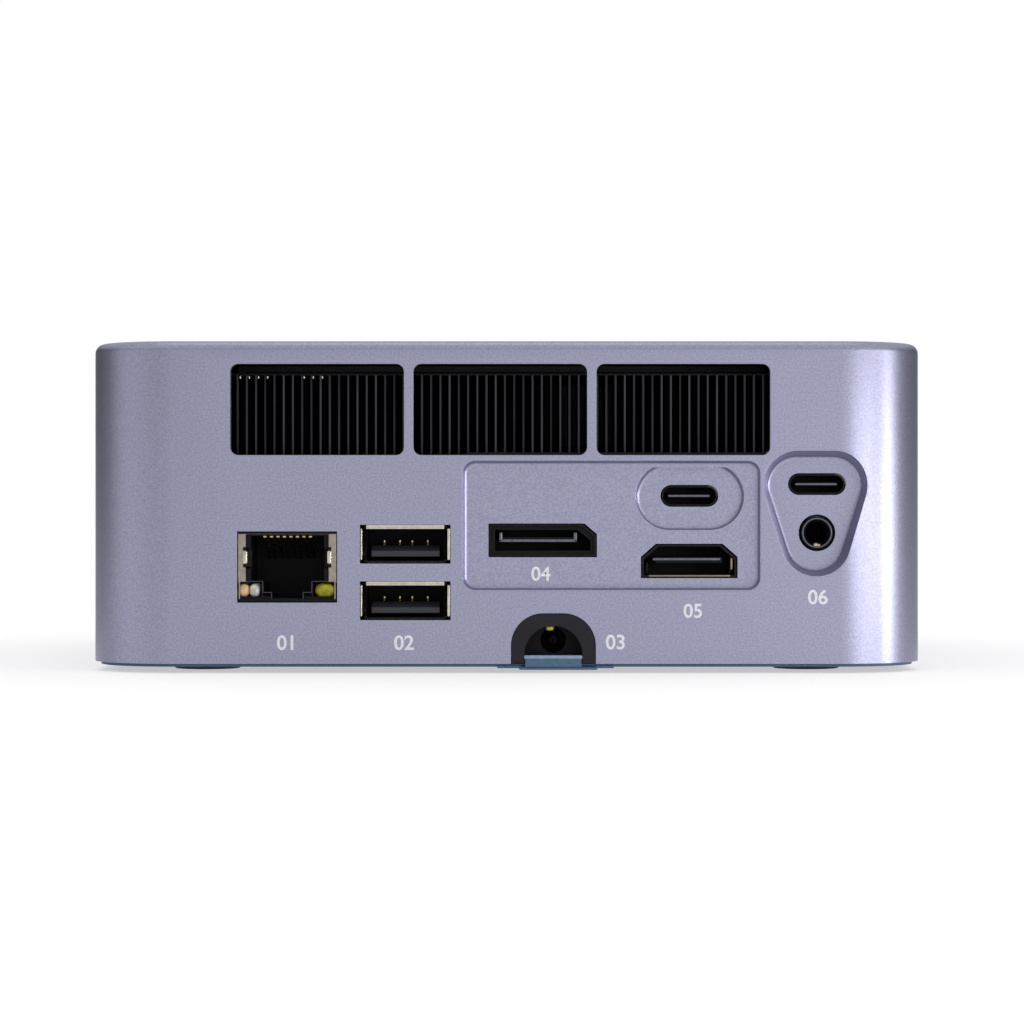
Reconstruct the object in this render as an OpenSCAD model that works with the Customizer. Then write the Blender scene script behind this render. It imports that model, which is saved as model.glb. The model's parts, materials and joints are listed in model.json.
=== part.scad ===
// Small desktop computer: a one-piece metal case over a hanging main board, closed by a bottom cover.
// Millimetres. +Z is up and the port face looks along -Y. Heights named here count from the case's
// bottom edge, and every piece is lifted by the feet, so that they stand on z = 0.

/* [Case] */
// Width of the case
case_w = 135; // [132:0.5:150]
// Depth of the case, from the port face to the front face
case_d = 132; // [130:0.5:150]
// Height of the case, without the cover's lip and the feet
case_h = 51.7; // [51:0.1:60]
// Corner radius seen from above
corner_r = 14; // [12:0.5:18]
// Radius of the top edge
edge_r = 1.5; // [0.5:0.1:1.9]
// Thickness of the side walls
wall_t = 2; // [1.6:0.1:2.2]
// Thickness of the top
top_t = 2.2; // [2:0.1:3]
// Radius of the corner posts that take the cover's screws
post_r = 3.5; // [3:0.1:3.8]
// Distance of each corner post from the two walls near it
post_inset = 8.5; // [8.3:0.1:9]

/* [Cover and feet] */
// Thickness of the cover inside the case
cover_t = 1.2; // [1:0.1:1.6]
// Thickness of the cover's lip under the case's edge
lip_t = 0.5; // [0.4:0.1:1]
// How far the lip stays inside the case's outline
lip_inset = 1; // [0.6:0.1:1.6]
// Gap between the cover and the case's walls
cover_gap = 0.2; // [0.1:0.05:0.4]
// Height of the feet under the cover
foot_h = 1; // [0.8:0.1:3]
// Radius of the feet
foot_r = 6; // [4:0.5:8]
// Distance of the feet's centres from the case's sides
foot_inset = 18; // [16:0.5:20]
// Depth to which each foot sits in the cover
foot_seat = 0.4; // [0.2:0.1:0.6]
// Distance between the bracket holes, both ways
bracket_pitch = 75; // [60:5:75]
// Radius of the tapped bracket holes
bracket_r = 1.25; // [1:0.05:1.6]
// Height of the bracket hole bosses above the cover
bracket_boss_h = 3.4; // [3:0.1:4]
// Length of the cover's air slots
slot_l = 24; // [16:1:26]
// Width of the air slots
slot_w = 4.6; // [4.4:0.1:5.2]
// Distance from slot to slot
slot_pitch = 7.6; // [7:0.1:8.4]

/* [Vents] */
// Number of vent windows
vent_n = 3; // [1:1:3]
// Width of a vent window
vent_w = 27.8; // [20:0.1:28]
// Height of a vent window
vent_h = 14.6; // [12:0.1:14.8]
// Bar between the windows
vent_bar = 1.5; // [1.2:0.1:2]
// Corner radius of the windows
vent_r = 1.3; // [0.5:0.1:2]
// Distance of the windows from the top of the case
vent_drop = 3.7; // [3.5:0.1:5]
// Centre of the row of windows
vent_x = -1; // [-2:0.5:2]

/* [Cooler] */
// Thickness of a cooling fin
fin_t = 0.3; // [0.2:0.05:0.4]
// Distance from fin to fin
fin_pitch = 1.49; // [1.2:0.01:3]
// Length of the fins along the air flow
fin_l = 18; // [14:0.5:18.5]
// How far the fins' tops stay under the windows' upper edge
fin_drop = 1.3; // [1:0.1:2]
// Thickness of the heat pipes, flattened
pipe_t = 2.8; // [2:0.1:3]
// Width of the heat pipes, flattened
pipe_w = 8; // [6:0.5:9]
// Thickness of the cold plate
plate_t = 2.5; // [2:0.1:3]
// Radius of the fan's rotor
rotor_r = 29; // [24:0.5:30]
// Number of rotor blades
blade_n = 37; // [19:1:41]
// Thickness of a rotor blade
blade_t = 0.7; // [0.5:0.1:0.9]
// Radius of the rotor's hub
hub_r = 12; // [11.5:0.5:15]
// Thickness of the fan's sheet walls
fan_t = 1; // [0.8:0.1:1.2]
// Radius of the fan's shaft
shaft_r = 1; // [0.8:0.1:1.5]
// Radial clearance of the shaft in its sleeve
shaft_gap = 0.05; // [0.02:0.01:0.1]

/* [Main board] */
// Width of the board
board_w = 110; // [108:0.5:110.5]
// Gap between the board's ends and the case's walls
board_end_gap = 4.5; // [4:0.1:5]
// Thickness of the board
board_t = 1.6; // [1.2:0.1:1.8]
// Height of the board's underside
board_z = 23.2; // [23:0.1:24]

/* [Network socket] */
// Centre of the network socket, across
net_x = -35.1; // [-37:0.1:-34]
// Width of its window
net_w = 16; // [15.8:0.1:16.4]
// Height of its window
net_h = 11.4; // [11.2:0.1:11.6]
// Height of the window's lower edge
net_z = 9.8; // [9.6:0.1:10.4]

/* [Type A sockets] */
// Centre of the pair of sockets, across
type_a_x = -16.2; // [-18:0.1:-15]
// Height of the lower socket's centre
type_a_z = 10.1; // [9.9:0.1:10.4]
// Distance between the two sockets
type_a_pitch = 9.05; // [8.8:0.05:9.2]
// Width of each window
type_a_w = 14.5; // [14.4:0.1:15]
// Height of each window
type_a_h = 6.2; // [6.1:0.1:6.6]

/* [Display and video sockets] */
// Centre of the display socket, across
display_x = 5.8; // [5:0.1:7]
// Height of its centre
display_z = 19.75; // [19:0.05:20]
// Centre of the video socket, across
video_x = 29.3; // [27:0.1:30]
// Height of its centre
video_z = 16.45; // [16:0.05:17]

/* [Type C sockets] */
// Centre of the left type C socket, across
type_c_left_x = 29.4; // [27:0.1:30]
// Height of its centre
type_c_left_z = 26.9; // [26.8:0.05:27.2]
// Height of the right type C socket's centre
type_c_right_z = 28.8; // [28.4:0.05:29]

/* [Audio socket] */
// Distance of the audio socket's centre from the case's side
audio_inset = 17.5; // [17.1:0.1:17.9]
// Height of its centre
audio_z = 20.95; // [20.6:0.05:21]
// Radius of its bore, for a 3.5 mm plug
audio_bore_r = 1.8; // [1.77:0.01:1.9]
// Length of its bore
audio_bore_l = 13; // [11:0.5:13]

/* [Recesses] */
// Width of the recess round the display and video sockets
panel_w = 47.6; // [46:0.1:48]
// Height of that recess
panel_h = 20.7; // [20:0.1:20.8]
// Its corner radius
panel_r = 2; // [1:0.1:3]
// Its depth
panel_deep = 1.4; // [1:0.1:1.6]
// Centre of that recess, across
panel_x = 16.8; // [16:0.1:17]
// Height of its centre
panel_z = 22.15; // [22:0.05:22.3]
// Width of the recess round the left type C socket
oval_w = 17.4; // [14:0.1:18]
// Height of that recess
oval_h = 11; // [8:0.1:11]
// Its depth below the recess that it lies in
oval_deep = 1.2; // [0.8:0.1:1.4]
// Distance of the middle of the recess round the right sockets from the case's side
pick_inset = 17.9; // [17.7:0.1:18.1]
// Corner radius of that recess
pick_r = 5.5; // [5:0.1:5.6]
// Height between its upper and lower corner centres
pick_h = 9.1; // [8.5:0.1:9.2]
// Distance between its two upper corner centres
pick_w = 5.8; // [5:0.1:6]
// Its depth
pick_deep = 3.6; // [3:0.1:3.8]
// How far the recess walls lean in for each millimetre of depth
draft = 0.24; // [0.1:0.01:0.3]
// Thickness of metal behind the recesses
pad_t = 1.2; // [1:0.1:1.3]

/* [Power inlet] */
// Centre of the power inlet, across
inlet_x = 7.5; // [6:0.1:9]
// Width of the arched opening in the case
arch_w = 13.6; // [13.4:0.1:14]
// Height of the arched opening
arch_h = 8.1; // [8:0.1:8.6]
// Radius of its upper corners
arch_r = 5.2; // [4.8:0.1:6]
// Width of the arch inside the collar
throat_w = 9.3; // [8.8:0.1:9.6]
// Height of the arch inside the collar
throat_h = 6.1; // [6:0.1:6.4]
// Height of the cover's tongue in the arch
tongue_h = 1.3; // [1:0.1:1.4]
// Height of the plug's axis
inlet_z = 3.7; // [3.6:0.05:3.8]
// Radius of the socket for a 4 mm plug
inlet_r = 2.05; // [2.02:0.01:2.1]
// Radius of the centre pin
pin_r = 0.8; // [0.5:0.05:0.85]

/* [Memory and cards] */
// Width of a memory module
memory_w = 67.6; // [60:0.1:69.6]
// Length of a memory module
memory_l = 30; // [28:0.5:32]
// Thickness of a memory module's board
memory_t = 1.2; // [1:0.1:1.4]
// Width of the storage and radio cards
card_w = 22; // [20:0.5:24]
// Length of the storage and radio cards
card_l = 30; // [26:1:34]
// Thickness of the cards' boards
card_t = 0.8; // [0.6:0.1:1]
// Radius of the coin cell
cell_r = 10; // [8:0.5:10.5]
// Thickness of the coin cell
cell_t = 3.2; // [1.6:0.1:3.4]

/* [Front] */
// Radius of the power button
button_r = 5.5; // [4:0.1:6]
// Distance of the power button's centre from the case's side
button_inset = 27.5; // [25.5:0.5:31.5]
// Travel of the power button
button_travel = 0.8; // [0.5:0.05:1]
// Gap round the power button
button_gap = 0.15; // [0.1:0.01:0.3]
// Height of the front row of sockets, lamp and button
front_z = 18.6; // [18:0.1:18.8]
// Distance of the front type A socket's centre from the case's other side
front_a_inset = 29.5; // [27.5:0.5:33.5]
// Centre of the front type C socket, seen from the front
front_c_x = -18; // [-22:0.5:-16]
// Radius of the power lamp's light pipe
lamp_r = 0.9; // [0.6:0.1:1.2]
// Distance of the lamp from the button's centre
lamp_pitch = 11; // [9:0.5:14]

/* [Hidden] */

$fn = 48;
over = 1;                                // how far a cut runs past the face that it opens
join = 0.1;                              // overlap of the shapes that make one solid
play = 0.05;                             // gap round a piece that sits in a drilled hole
fit = 0.15;                              // gap between a socket and its window
seat_gap = 0.1;                          // gap between pieces that stand on each other
lift = foot_h + lip_t;                   // height of the case's bottom edge above the ground
rear = -case_d / 2;                      // the port face
inner_top = case_h - top_t;
board_top = board_z + board_t;
board_l = case_d - 2 * (wall_t + board_end_gap);
audio_x = case_w / 2 - audio_inset;
pick_x = case_w / 2 - pick_inset;
button_x = case_w / 2 - button_inset;
front_a_x = front_a_inset - case_w / 2;

// Corner centres of a rounded rectangle, counter-clockwise
function box_corners(w, h, r) = [for (s = [[-1, -1], [1, -1], [1, 1], [-1, 1]])
    [s.x * (w / 2 - r), s.y * (h / 2 - r)]];

function heading(a, b) = atan2(b.y - a.y, b.x - a.x);

// The child profile carried round a convex outline of corner centres: straight along each side and
// turned at each corner. The profile's x counts outwards from the centres, and its y is height.
module swept_round(centres) {
    last = len(centres) - 1;
    for (i = [0 : last]) {
        here = centres[i];
        next = centres[i == last ? 0 : i + 1];
        before = centres[i == 0 ? last : i - 1];
        run = heading(here, next);
        turn = (run - heading(before, here) + 720) % 360;
        translate([next.x, next.y, 0])
            rotate([90, 0, run - 90])
                linear_extrude(norm(next - here))
                    children();
        translate([here.x, here.y, 0])
            rotate([0, 0, run - turn - 90])
                rotate_extrude(angle = turn)
                    children();
    }
}

// Flat outline with round corners about the centres, for sides that lie along X and Y
module round_outline(centres, r) {
    last = len(centres) - 1;
    if (last > 1) polygon(centres);
    for (i = [0 : last]) {
        here = centres[i];
        next = centres[i == last ? 0 : i + 1];
        run = heading(here, next);
        side = r * [sin(run), -cos(run)];
        translate(here) circle(r);
        polygon([here, here + side, next + side, next]);
    }
}

module round_box(w, h, r) round_outline(box_corners(w, h, r), r);

module stadium(w, h) round_outline([[-(w - h) / 2, 0], [(w - h) / 2, 0]], h / 2);

// A recess that narrows by lean over its depth, sunk below z = 0
module drafted(centres, r, depth, lean) {
    if (len(centres) > 2) translate([0, 0, -depth])
        linear_extrude(depth + over)
            polygon(centres);
    swept_round(centres)
        polygon([[0, -depth], [r - lean, -depth], [r, 0], [r, over], [0, over]]);
}

// Flat children in X and height, extruded along Y from one depth to another behind the port face
module behind_rear(x, z, from, to)
    translate([x, rear + to, lift + z])
        rotate([90, 0, 0])
            linear_extrude(to - from)
                children();

// Children drawn looking at the port face, with z outwards
module on_rear(x, z) translate([x, rear, lift + z]) rotate([90, 0, 0]) children();

// Children drawn as on the port face, turned round to the front face
module front() rotate([0, 0, 180]) children();

module block(x0, x1, y0, y1, z0, z1)
    translate([x0, y0, lift + z0]) cube([x1 - x0, y1 - y0, z1 - z0]);

// A block about a point of the plan, from one height to another
module slab(x, y, w, l, z0, z1) block(x - w / 2, x + w / 2, y - l / 2, y + l / 2, z0, z1);

module four_corners(x, y) for (s = [[-1, -1], [1, -1], [1, 1], [-1, 1]])
    translate([s.x * x, s.y * y, lift]) children();

module at_cover_posts() four_corners(case_w / 2 - post_inset, case_d / 2 - post_inset) children();

// The board's posts: the rear pair stands clear of the sockets, the front pair of the front sockets
board_post_r = 2.6;
board_post_inset = 5;
rear_post_deep = 22;
front_post_deep = 16;
module at_board_posts()
    for (sx = [-1, 1], y = [rear + rear_post_deep, -rear - front_post_deep])
        translate([sx * (board_w / 2 - board_post_inset), y, lift]) children();

screw_r = 1.25;
screw_hole_r = screw_r + play;
head_r = 2.4;
head_t = 0.9;
cross_l = 2.6;                           // length, width and depth of the cross in a screw's head
cross_w = 0.6;

// A pan-head screw with a cross recess, its head's underside at z = 0 and its shank upwards
module screw(length) difference() {
    union() {
        translate([0, 0, -head_t]) cylinder(r = head_r, h = head_t);
        cylinder(r = screw_r, h = length);
    }
    for (a = [0, 90]) rotate([0, 0, a])
        translate([-cross_l / 2, -cross_w / 2, -head_t - over])
            cube([cross_l, cross_w, over + cross_w]);
}

// ---- Case ----

vent_pitch = vent_w + vent_bar;
vent_top = case_h - vent_drop;
panel_centres = box_corners(panel_w, panel_h, panel_r);
oval_reach = (oval_w - oval_h) / 2;
oval_centres = [[-oval_reach, 0], [oval_reach, 0]];
pick_centres = [[0, 0], [pick_w / 2, pick_h], [-pick_w / 2, pick_h]];
pick_z = 19.5;                           // height of the recess's lower corner centre
c_left_deep = panel_deep + oval_deep;
pad_rim = 1.2;                           // how far the thicker metal reaches round a recess
root = 0.5;                              // how far pads and posts reach into the wall they grow from
cover_screw_deep = 9;
board_screw_deep = 7;

module case_profile() {
    square([corner_r, case_h - edge_r]);
    square([corner_r - edge_r, case_h]);
    translate([corner_r - edge_r, case_h - edge_r]) circle(edge_r);
}

module case_shell() translate([0, 0, lift]) difference() {
    centres = box_corners(case_w, case_d, corner_r);
    union() {
        linear_extrude(case_h) polygon(centres);
        swept_round(centres) case_profile();
    }
    translate([0, 0, -over])
        linear_extrude(inner_top + over)
            round_box(case_w - 2 * wall_t, case_d - 2 * wall_t, corner_r - wall_t);
}

// Thicker metal behind the recesses
module recess_pads() {
    behind_rear(panel_x, panel_z, wall_t - root, c_left_deep + pad_t)
        round_box(panel_w + 2 * pad_rim, panel_h + 2 * pad_rim, panel_r + pad_rim);
    pad_w = pick_w + 2 * (pick_r + pad_rim);
    pad_h = pick_h + 2 * (pick_r + pad_rim);
    behind_rear(pick_x, pick_z + pick_h / 2, wall_t - root, pick_deep + pad_t)
        round_box(pad_w, pad_h, pick_r);
}

module recesses() {
    on_rear(panel_x, panel_z) drafted(panel_centres, panel_r, panel_deep, panel_deep * draft);
    on_rear(type_c_left_x, type_c_left_z) translate([0, 0, -panel_deep])
        drafted(oval_centres, oval_h / 2, oval_deep, oval_deep * draft);
    on_rear(pick_x, pick_z) translate([0, 0, -pick_deep]) hull() for (c = pick_centres)
        translate(c) cylinder(r1 = pick_r - pick_deep * draft, r2 = pick_r + over * draft,
            h = pick_deep + over);
}

module vent_windows() for (i = [0 : vent_n - 1])
    behind_rear(vent_x + (i - (vent_n - 1) / 2) * vent_pitch, vent_top - vent_h / 2,
        -over, wall_t + over)
        round_box(vent_w, vent_h, vent_r);

// Straight legs under a flat top with round corners; a half-round top where r is half the width
module arch(w, top, foot, r) difference() {
    union() {
        translate([-w / 2, foot]) square([w, top - r - foot]);
        if (2 * r < w) translate([r - w / 2, foot]) square([w - 2 * r, top - foot]);
        for (side = [-1, 1]) translate([side * (w / 2 - r), top - r]) circle(r);
    }
    translate([-w, foot - 2 * w]) square([2 * w, 2 * w]);
}

display_half_w = 8.7;
display_half_h = 2.7;
display_cut_w = 2;                       // the slanted corner
display_cut_h = 1.7;
module display_outline(grow = 0) {
    w = display_half_w + grow;
    h = display_half_h + grow;
    polygon([[-w, -h], [w, -h], [w, h - display_cut_h], [w - display_cut_w, h], [-w, h]]);
}

// Wide below, with both upper corners cut back
video_half_w = 7.75;
video_half_h = 2.75;
video_cut_w = 2.4;
video_cut_h = 2.1;
module video_outline(grow = 0) {
    w = video_half_w + grow;
    h = video_half_h + grow;
    polygon([[-w, -h], [w, -h], [w, h - video_cut_h], [w - video_cut_w, h], [video_cut_w - w, h],
        [-w, h - video_cut_h]]);
}

type_c_w = 9.3;                          // window of a type C socket
type_c_h = 3.5;
audio_ring_r = 2.6;                      // outside of the audio socket's neck
audio_flare = 0.3;                       // how much its countersunk hole opens towards the outside
deep = 9;                                // longer than any wall or pad that a window passes through

module type_a_window(x, z) behind_rear(x, z, -over, deep) square([type_a_w, type_a_h], center = true);
module type_c_window(x, z) behind_rear(x, z, -over, deep) stadium(type_c_w, type_c_h);
module drilled(x, z, r) on_rear(x, z) translate([0, 0, -deep]) cylinder(r = r, h = deep + over);

module socket_windows() {
    behind_rear(net_x, net_z + net_h / 2, -over, deep) square([net_w, net_h], center = true);
    for (i = [0, 1]) type_a_window(type_a_x, type_a_z + i * type_a_pitch);
    behind_rear(display_x, display_z, -over, deep) display_outline();
    behind_rear(video_x, video_z, -over, deep) video_outline();
    type_c_window(type_c_left_x, type_c_left_z);
    type_c_window(audio_x, type_c_right_z);
    on_rear(audio_x, audio_z) translate([0, 0, -pick_deep - pad_t - over])
        cylinder(r1 = audio_ring_r + fit, r2 = audio_ring_r + fit + audio_flare,
            h = pad_t + 2 * over);
    behind_rear(inlet_x, 0, -over, deep) arch(arch_w, arch_h, -over, arch_r);
}

module front_windows() front() {
    drilled(button_x, front_z, button_r + button_gap);
    drilled(button_x - lamp_pitch, front_z, lamp_r + play);
    type_a_window(front_a_x, front_z);
    type_c_window(front_c_x, front_z);
}

module upper_case() color([0.65, 0.65, 0.73]) difference() {
    union() {
        case_shell();
        recess_pads();
        at_cover_posts() translate([0, 0, cover_t])
            cylinder(r = post_r, h = inner_top + root - cover_t);
        at_board_posts() translate([0, 0, board_top])
            cylinder(r = board_post_r, h = inner_top + root - board_top);
    }
    recesses();
    vent_windows();
    socket_windows();
    front_windows();
    at_cover_posts() translate([0, 0, cover_t - over])
        cylinder(r = screw_hole_r, h = cover_screw_deep + over);
    at_board_posts() translate([0, 0, board_top - over])
        cylinder(r = screw_hole_r, h = board_screw_deep + over);
}

// ---- Cover, feet and screws ----

slot_rows = [-14, 14];                   // centres of the two rows of air slots
slot_n = 7;
bracket_boss_t = 1.6;                    // wall round the bracket holes
tongue_start = 0.2;                      // the tongue's front, behind the port face
tongue_root = 1;
head_gap = 0.3;                          // gap round a sunk screw head
head_sink = 0.1;                         // how far the head lies below the cover's face
foot_chamfer_w = 0.8;
foot_chamfer_h = 0.5;
cover_screw_l = 6.5;

module at_feet() four_corners(case_w / 2 - foot_inset, case_d / 2 - foot_inset) children();
module at_bracket_holes() four_corners(bracket_pitch / 2, bracket_pitch / 2) children();

module bottom_cover() color([0.17, 0.2, 0.24]) difference() {
    bracket_hole_top = cover_t + bracket_boss_h;
    union() {
        translate([0, 0, foot_h]) linear_extrude(lip_t)
            round_box(case_w - 2 * lip_inset, case_d - 2 * lip_inset, corner_r - lip_inset);
        inside = wall_t + cover_gap;
        translate([0, 0, lift - join]) linear_extrude(cover_t + join)
            round_box(case_w - 2 * inside, case_d - 2 * inside, corner_r - inside);
        at_bracket_holes() cylinder(r = bracket_r + bracket_boss_t, h = bracket_hole_top);
        behind_rear(inlet_x, 0, tongue_start, wall_t + tongue_root)
            translate([-throat_w / 2 + fit, -lip_t])
                square([throat_w - 2 * fit, tongue_h + lip_t]);
    }
    at_bracket_holes() translate([0, 0, -lip_t - over])
        cylinder(r = bracket_r, h = bracket_hole_top + lip_t + 2 * over);
    at_cover_posts() translate([0, 0, -lip_t - over]) {
        cylinder(r = screw_hole_r, h = cover_t + lip_t + 2 * over);
        cylinder(r = head_r + head_gap, h = over + head_t + head_sink);
    }
    at_feet() translate([0, 0, -lip_t - over]) cylinder(r = foot_r + play, h = over + foot_seat);
    for (y = slot_rows, i = [0 : slot_n - 1])
        translate([(i - (slot_n - 1) / 2) * slot_pitch, y, foot_h - over])
            linear_extrude(lip_t + cover_t + 2 * over) rotate(90) stadium(slot_l, slot_w);
}

module foot(i) color([0.08, 0.08, 0.09]) {
    s = [[-1, -1], [1, -1], [1, 1], [-1, 1]][i];
    top = foot_h + foot_seat;
    translate([s.x * (case_w / 2 - foot_inset), s.y * (case_d / 2 - foot_inset), 0])
        rotate_extrude()
            polygon([[0, 0], [foot_r - foot_chamfer_w, 0], [foot_r, foot_chamfer_h],
                [foot_r, top], [0, top]]);
}

module cover_screws() color([0.2, 0.2, 0.22]) at_cover_posts()
    translate([0, 0, head_t + head_sink - lip_t]) screw(cover_screw_l);

// ---- Main board ----

board_corner_r = 2;
board_screw_l = 7;
board_hole_gap = 0.2;                    // extra room round the board's screws
notch_gap = 0.45;                        // room round the cover's posts at the board's corners
cool_x = vent_x;
cool_deep = 60;                          // from the port face to the middle of processor and fan
cool_y = rear + cool_deep;
cap_r = 2.2;                             // capacitors in a row along the board's side
cap_h = 4.5;
cap_side = 10.5;                         // distance of their centres from the board's side
coil_w = 6;                              // coils beside them
coil_h = 3.2;
coil_n = 6;
coil_pitch = 7.2;
coil_step = 6.5;                         // from a capacitor's centre to its coil's
power_y = 11;                            // from the fan's centre to the first coil
chip_w = 12;
bridge_x = 34;                           // a square chip in front of the cooler
bridge_step = 24;
bridge_t = 1.4;
link_x = 42;                             // a longer one beside it
link_step = 15;
link_l = 18;
link_t = 1.2;

module motherboard() color([0.08, 0.22, 0.16]) difference() {
    cap_x = cap_side - board_w / 2;
    union() {
        translate([0, 0, lift + board_z]) linear_extrude(board_t)
            round_box(board_w, board_l, board_corner_r);
        for (i = [0 : coil_n - 1]) {
            y = cool_y + power_y + i * coil_pitch;
            slab(cap_x + coil_step, y, coil_w, coil_w, board_top, board_top + coil_h);
            translate([cap_x, y, lift + board_top]) cylinder(r = cap_r, h = cap_h);
        }
        slab(bridge_x, cool_y + bridge_step, chip_w, chip_w, board_top, board_top + bridge_t);
        slab(link_x, cool_y - link_step, chip_w, link_l, board_top, board_top + link_t);
    }
    at_board_posts() translate([0, 0, board_z - over])
        cylinder(r = screw_hole_r + board_hole_gap, h = board_t + 2 * over);
    at_cooler_screws() translate([0, 0, -board_t - over])
        cylinder(r = screw_hole_r, h = board_t + 2 * over);
    at_cover_posts() cylinder(r = post_r + notch_gap, h = case_h);
}

module board_screws() color([0.75, 0.75, 0.78]) at_board_posts()
    translate([0, 0, board_z]) screw(board_screw_l);

// ---- Network socket ----

sheet_t = 0.3;                           // sheet metal of the socket shells
net_bottom = net_z + fit;
net_half = net_w / 2 - fit;
net_top = net_z + net_h - 0.7;           // ceiling of the cavity
net_deep = 16;
net_front = 0.3;                         // the shell's mouth, behind the case's surface
net_lip = 1.2;                           // width of the shell's bent-in front edges
net_lip_z = 3.2;                         // how far above the shell's floor they start
tab_z = 5.6;                             // spring tabs on them
tab_h = 2.6;
tab_l = 2.4;
tab_lean = 20;
tab_step = 0.25;
tab_room = 1.1;                          // half the width of the room that the insert leaves a tab
net_cavity_w = 11.8;
net_cavity_h = 7.7;
net_cavity_l = 13.5;
key_w = 7.8;                             // the cavity's two steps downwards, for the plug's latch
key_h = 2;
latch_w = 4.8;
latch_z = 0.7;
net_lamp_w = 3.4;
net_lamp_h = 2.1;
net_lamp_l = 5;
net_lamp_z = net_bottom + 0.8;
net_lamp_x = net_half - sheet_t - net_lamp_w / 2;
net_pitch = 1.02;
net_contact_n = 8;
net_contact_w = 0.36;
net_contact_t = 0.3;
net_contact_l = 10.5;
net_contact_front = 2;
wire_l = 5.5;                            // the slanted wire that touches the plug
wire_t = 0.26;
wire_lean = 20;

// A stepped block: as high as the window inside the wall, and up to the board behind it
module net_block(shrink, from, to) {
    half = net_half - shrink;
    low = net_bottom + shrink;
    block(net_x - half, net_x + half, rear + from, rear + to, low, net_z + net_h - fit - shrink);
    block(net_x - half, net_x + half, rear + wall_t + fit + shrink, rear + to, low, board_z - shrink);
}

module net_shell() color([0.72, 0.70, 0.66]) {
    difference() {
        net_block(0, net_front, net_deep);
        net_block(sheet_t, net_front - over, net_deep - sheet_t);
    }
    // Bent-in front edges and their spring tabs
    for (s = [0, 1]) translate([net_x, rear + net_front, lift + net_bottom]) mirror([s, 0, 0]) {
        translate([net_half - net_lip, 0, net_lip_z])
            cube([net_lip, sheet_t, net_h - 2 * fit - net_lip_z - join]);
        translate([net_half - net_lip + tab_step, join, tab_z]) rotate([0, 0, 90 + tab_lean])
            cube([tab_l, sheet_t, tab_h]);
    }
}

module net_cavity() {
    floor_z = net_top - net_cavity_h;
    translate([-net_cavity_w / 2, floor_z]) square([net_cavity_w, net_cavity_h]);
    translate([-key_w / 2, floor_z - key_h]) square([key_w, key_h + join]);
    translate([-latch_w / 2, net_z + latch_z]) square([latch_w, floor_z - net_z]);
}

// Room or solid of one lamp window, on the left or right side
module net_lamp_block(side, from, to)
    block(net_x + side * net_lamp_x - net_lamp_w / 2, net_x + side * net_lamp_x + net_lamp_w / 2,
        rear + from, rear + to, net_lamp_z, net_lamp_z + net_lamp_h);

lamp_front = net_front + sheet_t;
module net_insert() color([0.05, 0.05, 0.06]) difference() {
    net_block(sheet_t, lamp_front, net_deep - sheet_t);
    behind_rear(net_x, 0, -over, net_cavity_l) net_cavity();
    for (s = [-1, 1]) {
        net_lamp_block(s, lamp_front - over, lamp_front + net_lamp_l);
        // Room for the spring tabs
        block(net_x + s * (net_half - net_lip) - tab_room, net_x + s * (net_half - net_lip) + tab_room,
            rear + lamp_front - over, rear + lamp_front + tab_l + 0.2,
            net_bottom + tab_z - 0.3, net_bottom + tab_z + tab_h + 0.3);
    }
}

module net_contacts() color([0.9, 0.72, 0.3]) for (i = [0 : net_contact_n - 1])
    translate([net_x + (i - (net_contact_n - 1) / 2) * net_pitch - net_contact_w / 2,
        rear + net_contact_front, lift + net_top]) {
        translate([0, 0, -net_contact_t]) cube([net_contact_w, net_contact_l, net_contact_t]);
        translate([0, 0.02, 0.02 - net_contact_t]) rotate([-wire_lean, 0, 0])
            cube([net_contact_w, wire_l, wire_t]);
    }

module net_lamp(side, tint) color(tint) net_lamp_block(side, lamp_front, lamp_front + net_lamp_l);

// ---- Type A sockets ----

type_a_shell_w = 13.1;
type_a_shell_h = 5.7;
type_a_deep = 14;
type_a_front = 1.2;                      // where the straight shell starts, behind the flared edges
type_a_back = 10.5;                      // where the insulator fills the shell
type_a_housing_w = 13.8;
type_a_housing_foot = 3.3;               // from the lower socket's centre to the housing's floor
type_a_housing_deep = 17;
tongue_w = 11.1;
tongue_t = 1.8;
tongue_low = 2.05;                       // from the socket's centre to the tongue's underside
tongue_front = 1.6;
contact_t = 0.2;
contact_w = 1;
contact_front = 2.2;
contact_xs = [-3.5, -1, 1, 3.5];
flare_l = 1.2;
flare_gap = 0.1;
flare_cut = 0.4;                         // how far the flared edges stop short of the corners

// One flared edge, bent out from the shell's side until it nearly meets the window
module flare(across, along, window) translate([0, 0, across / 2 - sheet_t])
    rotate([-asin(((window - across) / 2 - flare_gap) / flare_l), 0, 0])
        translate([-along / 2 + flare_cut, -flare_l, 0])
            cube([along - 2 * flare_cut, flare_l + join, sheet_t]);

// The straight shell with its four flared edges, about the socket's centre line
module type_a_shell(x, z) color([0.74, 0.73, 0.71]) {
    w = type_a_shell_w;
    h = type_a_shell_h;
    behind_rear(x, z, type_a_front, type_a_deep) difference() {
        square([w, h], center = true);
        square([w - 2 * sheet_t, h - 2 * sheet_t], center = true);
    }
    translate([x, rear + type_a_front + join / 2, lift + z]) {
        for (turn = [0, 180]) rotate([0, turn, 0]) flare(h, w, type_a_h);
        for (turn = [90, 270]) rotate([0, turn, 0]) flare(w, h, type_a_w);
    }
}

module type_a_housing() color([0.07, 0.07, 0.08]) difference() {
    block(type_a_x - type_a_housing_w / 2, type_a_x + type_a_housing_w / 2, rear + wall_t + 0.4,
        rear + type_a_housing_deep, type_a_z - type_a_housing_foot, board_z);
    for (i = [0, 1]) behind_rear(type_a_x, type_a_z + i * type_a_pitch, 0, type_a_deep)
        square([type_a_shell_w, type_a_shell_h], center = true);
}

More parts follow.
